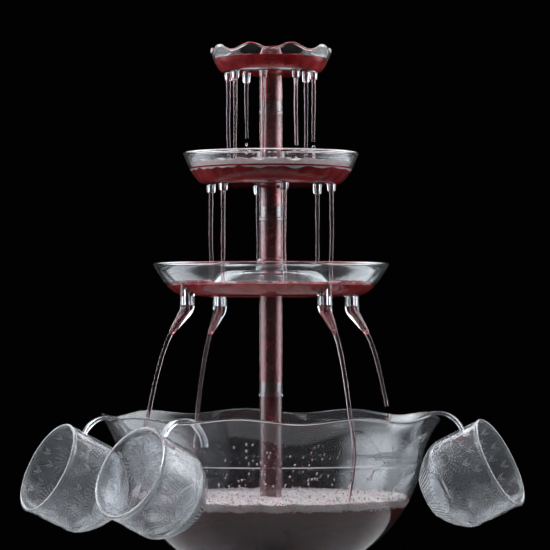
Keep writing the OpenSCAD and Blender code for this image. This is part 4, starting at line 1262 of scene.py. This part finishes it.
# %% [markdown]
# ## Falling streams
# A stream is a thin round string that follows a path, gets thinner as it speeds up and wobbles a little.
# That is a rule: Geometry Nodes turn lines of points into curves and sweep a small circle along them.

# %% The rule of the stream
WOBBLE_SCALE = 130.0
WOBBLE_DETAIL = 2.0
STREAM_SIDES = 12
stream_rule, given = new_rule("falling_stream", Thick="Float", Thinning="Float", Wobble="Float")
line = add_step(stream_rule, "GeometryNodeMeshToCurve", {"Mesh": given["Geometry"]})
noise = add_step(stream_rule, "ShaderNodeTexNoise", None, {"Scale": WOBBLE_SCALE, "Detail": WOBBLE_DETAIL})
uneven = calc(stream_rule, "SUBTRACT", noise.outputs["Fac"], HALF)
uneven = calc(stream_rule, "MULTIPLY", uneven, given["Wobble"])
along = add_step(stream_rule, "GeometryNodeSplineParameter")
thinner = calc(stream_rule, "MULTIPLY", along.outputs["Factor"], given["Thinning"])
size = calc(stream_rule, "ADD", calc(stream_rule, "SUBTRACT", 1.0, thinner), uneven)
ring = add_step(
    stream_rule, "GeometryNodeCurvePrimitiveCircle", {"Radius": given["Thick"]},
    {"Resolution": STREAM_SIDES})
string = add_step(
    stream_rule, "GeometryNodeCurveToMesh",
    {"Curve": line.outputs[0], "Profile Curve": ring.outputs[0], "Scale": size}, {"Fill Caps": True})
end_rule(stream_rule, string.outputs[0], stream_drink)


def string_mesh(name, lines, thick, thinning, wobble):
    verts = []
    edges = []
    for points in lines:
        first = len(verts)
        verts += [point * MM for point in points]
        edges += [(first + i, first + i + 1) for i in range(len(points) - 1)]
    mesh = new_mesh(name + "_lines", verts, edges=edges)
    return grown(name, stream_rule, mesh, Thick=thick * MM, Thinning=thinning, Wobble=wobble)


# %% Lines of the streams from the nozzles
LINE_STEPS = 26
SWAY = 0.5
SWAY_RATE = 0.09
SWAY_SHIFT = 2.1
DROP_GAP = 5
DROP_GAP_GROWTH = 1.5
LAST_DROP_ABOVE = 1
STREAM_IN = 2
drop_spots = {"middle_tier": [], "top_tier": []}


def round_point(radius, azimuth_deg, z):
    angle = math.radians(azimuth_deg)
    return Vector((radius * math.cos(angle), radius * math.sin(angle), z))


def nozzle_lines(body, ring, from_z, to_z, breaks):
    count, radius, start_deg = ring
    lines = []
    for index in range(count):
        azimuth_deg = start_deg + 360 / count * index
        end_z = breaks.get(index, to_z)
        line = []
        for z in spaced(from_z, end_z, LINE_STEPS):
            fallen = (from_z - z) / (from_z - to_z)
            sway = SWAY * fallen * math.sin(z * SWAY_RATE + index * SWAY_SHIFT)
            line.append(round_point(radius + sway, azimuth_deg + sway, z))
        lines.append(line)
        gap = DROP_GAP
        z = end_z - gap
        while end_z > to_z and z > to_z + LAST_DROP_ABOVE:
            drop_spots[body].append(round_point(radius, azimuth_deg, z))
            gap += DROP_GAP_GROWTH
            z -= gap
    return lines


# %% Streams from the nozzles
TOP_BREAKS = {1: 17, 2: 21, 5: 26}
MIDDLE_BREAKS = {3: 20}
top_lines = nozzle_lines(
    "top_tier", TOP_NOZZLE_RING, top_z - NOZZLE_L + STREAM_IN, MIDDLE_LEVEL - STREAM_IN,
    {index: MIDDLE_LEVEL + up for index, up in TOP_BREAKS.items()})
top_streams = string_mesh("top_streams", top_lines, thick=1.7, thinning=0.3, wobble=0.6)
place("top_streams", top_streams, stream_drink, "top_tier", "clear_plastic")
middle_lines = nozzle_lines(
    "middle_tier", MIDDLE_NOZZLE_RING, middle_z - NOZZLE_L + STREAM_IN, BOTTOM_LEVEL - STREAM_IN,
    {index: BOTTOM_LEVEL + up for index, up in MIDDLE_BREAKS.items()})
middle_streams = string_mesh("middle_streams", middle_lines, thick=1.75, thinning=0.2, wobble=0.45)
place("middle_streams", middle_streams, stream_drink, "middle_tier", "clear_plastic")

# %% [markdown]
# ## Streams from the spouts
# A spout throws its stream outwards at about 0.4 m/s. It falls in a curve until it meets the bowl's wall,
# and then runs down the wall into the drink. One stream has just broken off above the rim.

# %% Streams from the spouts
GRAVITY = 9810
SPOUT_SPEED = 405
TIME_STEP = 0.004
STREAM_BACK = 3
STREAM_HALF = 1.6
BROKEN_SPOUT = "spout_rear_right"
BREAK_ABOVE_RIM = 6


def spout_line(tip, aim, end_z):
    line = []
    start = tip - aim * STREAM_BACK
    time = 0
    while True:
        point = start + aim * SPOUT_SPEED * time - Vector((0, 0, GRAVITY / 2 * time ** 2))
        if point.z < end_z:
            return line
        if point.z < rim_z:
            wall_r = inside_bowl_r(point.z) - STREAM_HALF
            radius = math.hypot(point.x, point.y)
            if radius > wall_r:
                point = Vector((point.x * wall_r / radius, point.y * wall_r / radius, point.z))
        line.append(point)
        time += TIME_STEP


for name in spout_names:
    end_z = rim_z + BREAK_ABOVE_RIM if name == BROKEN_SPOUT else BOWL_LEVEL - STREAM_IN
    spout_stream = string_mesh(
        name + "_stream", [spout_line(*spout_tips[name], end_z)], thick=1.9, thinning=0.25, wobble=0.35)
    place(name + "_stream", spout_stream, stream_drink, name, "clear_plastic")

# %% [markdown]
# ## Drops, bubbles and beads
# Where a stream breaks it goes on as drops. Bubbles lie on the foam, and beads of drink cling to the bowl's
# wall above it. All of these are one shape set down many times in random sizes, so one more rule does it:
# a small ball on every point, with a seed that gives the same result each time.

# %% The rule of the beads
BALL_SEGMENTS = 8
BALL_RINGS = 5
bead_rule, given = new_rule(
    "beads", Smallest="Float", Largest="Float", Stretch="Float", Seed="Int", Finish="Material")
points = add_step(bead_rule, "GeometryNodeMeshToPoints", {"Mesh": given["Geometry"]})
ball = add_step(
    bead_rule, "GeometryNodeMeshUVSphere", None,
    {"Segments": BALL_SEGMENTS, "Rings": BALL_RINGS, "Radius": 1.0})
chance = add_step(
    bead_rule, "FunctionNodeRandomValue",
    {2: given["Smallest"], 3: given["Largest"], "Seed": given["Seed"]}, data_type="FLOAT")
size = chance.outputs[1]
tall = calc(bead_rule, "MULTIPLY", size, given["Stretch"])
scale = add_step(bead_rule, "ShaderNodeCombineXYZ", {"X": size, "Y": size, "Z": tall})
beads = add_step(
    bead_rule, "GeometryNodeInstanceOnPoints",
    {"Points": points.outputs[0], "Instance": ball.outputs[0], "Scale": scale.outputs[0]})
end_rule(bead_rule, beads.outputs[0], given["Finish"])


def beads_on(name, spots, body, material, smallest, largest, stretch, seed):
    mesh = grown(
        name, bead_rule, new_mesh(name + "_spots", [spot * MM for spot in spots]), Smallest=smallest * MM,
        Largest=largest * MM, Stretch=stretch, Seed=seed, Finish=material)
    return place(name, mesh, material, body, "clear_plastic")


# %% Drops below the broken streams
DROP_BELOW_RIM = 4
beads_on("top_drops", drop_spots["top_tier"], "top_tier", stream_drink,
         smallest=0.9, largest=1.7, stretch=1.5, seed=3)
beads_on("middle_drops", drop_spots["middle_tier"], "middle_tier", stream_drink,
         smallest=1.0, largest=1.8, stretch=1.5, seed=5)
last_drop = spout_line(*spout_tips[BROKEN_SPOUT], rim_z - DROP_BELOW_RIM)[-1]
beads_on("spout_drop", [last_drop], BROKEN_SPOUT, stream_drink,
         smallest=2.2, largest=2.3, stretch=1.7, seed=7)

# %% [markdown]
# ## Foam
# Foam floats on the bowl's drink and round the riser in the middle dish. It is made as a lumpy crust with
# bubbles on it. More bubbles crowd along the bowl's wall, where they show through it as a pale line, and
# small rafts of them lie in the bottom dish where the streams land.

# %% The crust of foam
FOAM_RINGS = 30
FOAM_STEPS = 160
CRUST_SHARE = 0.5
LUMP_SHARE = 0.35
LUMP_X = 0.21
LUMP_Y = 0.18
LUMP_SHIFT = 0.6
FINE_LUMP = 0.6
FINE_LUMP_X = 0.47
FINE_LUMP_Y = 0.33


def foam_layer(name, inner_r, outer_r, level, low, high):
    """A crust whose upper and lower faces rise and fall, from inner_r to outer_r."""
    under = [(r, level - low) for r in spaced(inner_r, outer_r, FOAM_RINGS)]
    over = [(r, level + high) for r in spaced(outer_r, inner_r, FOAM_RINGS)]
    mesh = turned_mesh(name, under + over, FOAM_STEPS)
    for vertex in mesh.vertices:
        x = vertex.co.x / MM
        y = vertex.co.y / MM
        lumps = math.sin(x * LUMP_X + LUMP_SHIFT) * math.sin(y * LUMP_Y)
        lumps += FINE_LUMP * math.sin(x * FINE_LUMP_X - y * FINE_LUMP_Y)
        side = 1 if vertex.co.z > level * MM else -1
        vertex.co.z += (CRUST_SHARE * side + LUMP_SHARE * lumps) * high * MM
    mesh.update()
    return mesh


# %% Foam on the bowl's drink
FOAM_SEED = 11
FOAM_ABOVE = 2
FOAM_WALL_GAP = 0.8
FOAM_TUBE_GAP = 0.6
BOWL_BUBBLES = 1500
BUBBLE_REACH = (0.05, 0.97)
BUBBLE_LIFT = (2.6, 4.2)
CROWDED_OUT = 0.2
EDGE_BUBBLES = 2200
EDGE_LIFT = (-3.4, 3.2)
EDGE_DEPTH = (0.2, 1.4)
foam_r = beside_bowl(BOWL_LEVEL + FOAM_ABOVE, OVERLAP - BOWL_WALL)[0]
foam_mesh = foam_layer(
    "bowl_foam", TUBE_R + FOAM_TUBE_GAP, foam_r - FOAM_WALL_GAP, BOWL_LEVEL, low=1.8, high=2.2)
place("bowl_foam", foam_mesh, foam, "bowl", "clear_plastic")
dice = random.Random(FOAM_SEED)
foam_spots = []
for index in range(BOWL_BUBBLES):
    radius = foam_r * dice.uniform(*BUBBLE_REACH) ** CROWDED_OUT
    foam_spots.append(round_point(radius, dice.uniform(0, 360), BOWL_LEVEL + dice.uniform(*BUBBLE_LIFT)))
beads_on("bowl_bubbles", foam_spots, "bowl", foam, smallest=0.3, largest=1.0, stretch=0.7, seed=12)
edge_spots = []
for index in range(EDGE_BUBBLES):
    z = BOWL_LEVEL + dice.uniform(*EDGE_LIFT)
    radius = inside_bowl_r(z) - dice.uniform(*EDGE_DEPTH)
    edge_spots.append(round_point(radius, dice.uniform(0, 360), z))
beads_on("edge_bubbles", edge_spots, "bowl", foam, smallest=0.4, largest=1.15, stretch=0.9, seed=13)

# %% Foam round the riser in the middle dish
MIDDLE_FOAM_GAP = 0.6
MIDDLE_FOAM_FROM = COLLAR_R + 1.4
HEAP_BUBBLES = 620
HEAP_FROM = COLLAR_R + 1.5
HEAP_W = 34
HEAP_Z = MIDDLE_LEVEL + 3.8
HEAP_H = 4
HEAP_CURVE = 1.5
HEAP_FILL = (0.2, 1)
middle_foam_mesh = foam_layer(
    "middle_foam", MIDDLE_FOAM_FROM, middle_wall[-1][0] - MIDDLE_FOAM_GAP, MIDDLE_LEVEL, low=1.0, high=2.8)
place("middle_foam", middle_foam_mesh, foam, "middle_tier", "clear_plastic")
heap = []
for index in range(HEAP_BUBBLES):
    share = dice.random()
    azimuth_deg = dice.uniform(0, 360)
    up = HEAP_H * (1 - share) ** HEAP_CURVE * dice.uniform(*HEAP_FILL)
    heap.append(round_point(HEAP_FROM + HEAP_W * share, azimuth_deg, HEAP_Z + up))
beads_on("middle_bubbles", heap, "middle_tier", foam, smallest=0.5, largest=1.4, stretch=0.8, seed=14)

# %% Rafts of bubbles in the bottom dish
RAFT_BUBBLES = 300
RAFT_FROM = shore_r + 2.5
RAFT_W = 9
RAFT_SPREAD_DEG = 11
RAFT_LIFT = (-0.2, 0.5)
rafts = []
for index in range(RAFT_BUBBLES):
    landing_deg = MIDDLE_NOZZLE_DEG + 360 / MIDDLE_NOZZLES * (index % MIDDLE_NOZZLES)
    landing_r = RAFT_FROM + RAFT_W * dice.random() ** 2
    azimuth_deg = dice.gauss(landing_deg, RAFT_SPREAD_DEG)
    rafts.append(round_point(landing_r, azimuth_deg, BOTTOM_LEVEL + dice.uniform(*RAFT_LIFT)))
beads_on("bottom_bubbles", rafts, "bottom_tier", foam, smallest=0.4, largest=1.3, stretch=0.6, seed=16)

# %% Beads that cling to the bowl's wall
WALL_BEADS = 420
WALL_BEADS_FROM = 5
WALL_BEADS_H = 48
WALL_BEADS_CURVE = 1.6
WALL_BEADS_IN = 0.2
FRONT_DEG = 272
FRONT_SPREAD_DEG = 40
wall_spots = []
for index in range(WALL_BEADS):
    z = BOWL_LEVEL + WALL_BEADS_FROM + WALL_BEADS_H * dice.random() ** WALL_BEADS_CURVE
    radius = inside_bowl_r(z) + WALL_BEADS_IN
    wall_spots.append(round_point(radius, dice.gauss(FRONT_DEG, FRONT_SPREAD_DEG), z))
beads_on("wall_beads", wall_spots, "bowl", stream_drink, smallest=0.25, largest=0.95, stretch=1.3, seed=18)

# %% [markdown]
# ## The base and the drive
# The solids of the base, pump and drive already have the right shape, so they stay and only get finishes.

# %% Finishes on the solids that stay
finish_of = {
    "white_plastic": ("base_housing", "base_cover", "drive_hub", "impeller"),
    "black_plastic": ("switch_bezel", "switch_rocker", "power_inlet"),
    "rubber": ("rubber_feet", "bowl_gasket"),
    "steel": ("cover_screws", "bracket_screws", "motor_bracket", "motor_shaft", "impeller_pin"),
    "motor_metal": ("motor_can", "drive_magnets", "impeller_magnets"),
    "clear_plastic": ("pump_cover",),
}
for finish_name, nodes in finish_of.items():
    for node in nodes:
        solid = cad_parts[node]
        solid.data.materials.clear()
        solid.data.materials.append(bpy.data.materials[finish_name])
    print(finish_name, "on", ", ".join(nodes))

# %% [markdown]
# ## The studio
# Clear plastic is photographed against darkness with soft light from the sides and from behind, so that its
# edges shine. Two wide boxes at the sides draw the bright edges of tubes and streams, two high ones behind
# light the walls of the dishes, and one above fills the rest. Each panel is brightest in its middle, so its
# reflections fade out softly. The floor is a plain pale table, and the background stays dark.

# %% Floor and world
FLOOR_R = 0.27
FLOOR_SIDES = 128
DARK = (0.0006, 0.0006, 0.0007, 1)
floor_turns = [math.tau * i / FLOOR_SIDES for i in range(FLOOR_SIDES)]
floor_ring = [(FLOOR_R * math.cos(a), FLOOR_R * math.sin(a), 0) for a in floor_turns]
floor_mesh = new_mesh("studio_floor", floor_ring, faces=[list(range(FLOOR_SIDES))])
floor_mesh.materials.append(make_finish(
    "studio_floor", roughness=0.6, tone=dict(scale=3, dark=(0.5, 0.5, 0.5), light=(0.54, 0.54, 0.535))))
floor = bpy.data.objects.new("studio_floor", floor_mesh)
bpy.context.scene.collection.objects.link(floor)

world = bpy.data.worlds.new("studio_dark")
world.use_nodes = True
world.node_tree.nodes["Background"].inputs["Color"].default_value = DARK
world.node_tree.nodes["Background"].inputs["Strength"].default_value = 1.0
bpy.context.scene.world = world
bpy.context.scene.view_settings.view_transform = "Standard"
print("floor of", FLOOR_R * 2, "m in a dark studio")

# %% A helper that sets up a lamp
PANEL_PEAK = 1.7
PANEL_MIDDLE = (0.5, 0.5, 0)
PANEL_EDGE = 0.5


def face_to(thing, target):
    thing.rotation_euler = (Vector(target) - thing.location).to_track_quat("-Z", "Y").to_euler()


def soft_lamp(name, place_at, aim_at, wide, high, power, tint=(1, 1, 1), even=0.28):
    """even is how far from the panel's middle its light stays full, as a share of its width."""
    lamp = bpy.data.lights.new(name, "AREA")
    lamp.shape = "RECTANGLE"
    lamp.size = wide
    lamp.size_y = high
    lamp.energy = power
    lamp.color = tint
    lamp.use_nodes = True
    on_panel = add_node(lamp, "ShaderNodeNewGeometry")
    from_middle = add_node(lamp, "ShaderNodeVectorMath")
    from_middle.operation = "DISTANCE"
    from_middle.inputs[1].default_value = PANEL_MIDDLE
    lamp.node_tree.links.new(on_panel.outputs["Parametric"], from_middle.inputs[0])
    fade = add_node(lamp, "ShaderNodeMapRange", from_min=PANEL_EDGE, from_max=even, to_max=PANEL_PEAK)
    fade.interpolation_type = "SMOOTHSTEP"
    join(lamp, from_middle.outputs["Value"], fade, "Value")
    join(lamp, fade.outputs["Result"], lamp.node_tree.nodes["Emission"], "Strength")
    stand = bpy.data.objects.new(name, lamp)
    stand.location = place_at
    face_to(stand, aim_at)
    bpy.context.scene.collection.objects.link(stand)
    print("lamp:", name, power, "W")


# %% Lamps
COOL = (0.92, 0.96, 1)
HEART = (0, 0, 0.28)
DISHES = (0, 0, 0.4)
soft_lamp("left_box", (-1.15, 0.15, 0.6), DISHES, wide=2.0, high=1.6, power=32, tint=COOL, even=0.04)
soft_lamp("right_box", (1.15, 0.25, 0.6), DISHES, wide=1.9, high=1.6, power=28, tint=COOL, even=0.04)
soft_lamp("high_left_box", (-0.68, 1.0, 1.2), DISHES, wide=1.5, high=1.35, power=14, tint=COOL)
soft_lamp("high_right_box", (0.68, 1.0, 1.2), DISHES, wide=1.5, high=1.35, power=10.5, tint=COOL)
soft_lamp("top_box", (0, -0.4, 1.6), HEART, wide=1.1, high=0.9, power=10)

# %% [markdown]
# ## The camera
# The photograph was taken from far away with a long lens. The camera stands a little above half the
# fountain's height and looks up slightly.

# %% Camera
FRAME_PX = 550
PIXEL_MM = 0.84
STAND_OFF = 2.57
SENSOR_W = 36
EYE_X = 0.0034
EYE_Z = 0.2645
LOOK_Z = 0.303
eye = bpy.data.cameras.new("view")
eye.sensor_width = SENSOR_W
eye.sensor_fit = "HORIZONTAL"
eye.lens = eye.sensor_width * STAND_OFF / (FRAME_PX * PIXEL_MM * MM)
camera = bpy.data.objects.new("view", eye)
camera.location = (EYE_X, -STAND_OFF, EYE_Z)
face_to(camera, (EYE_X, 0, LOOK_Z))
bpy.context.scene.collection.objects.link(camera)
bpy.context.scene.camera = camera
print("lens", round(eye.lens, 1), "mm")
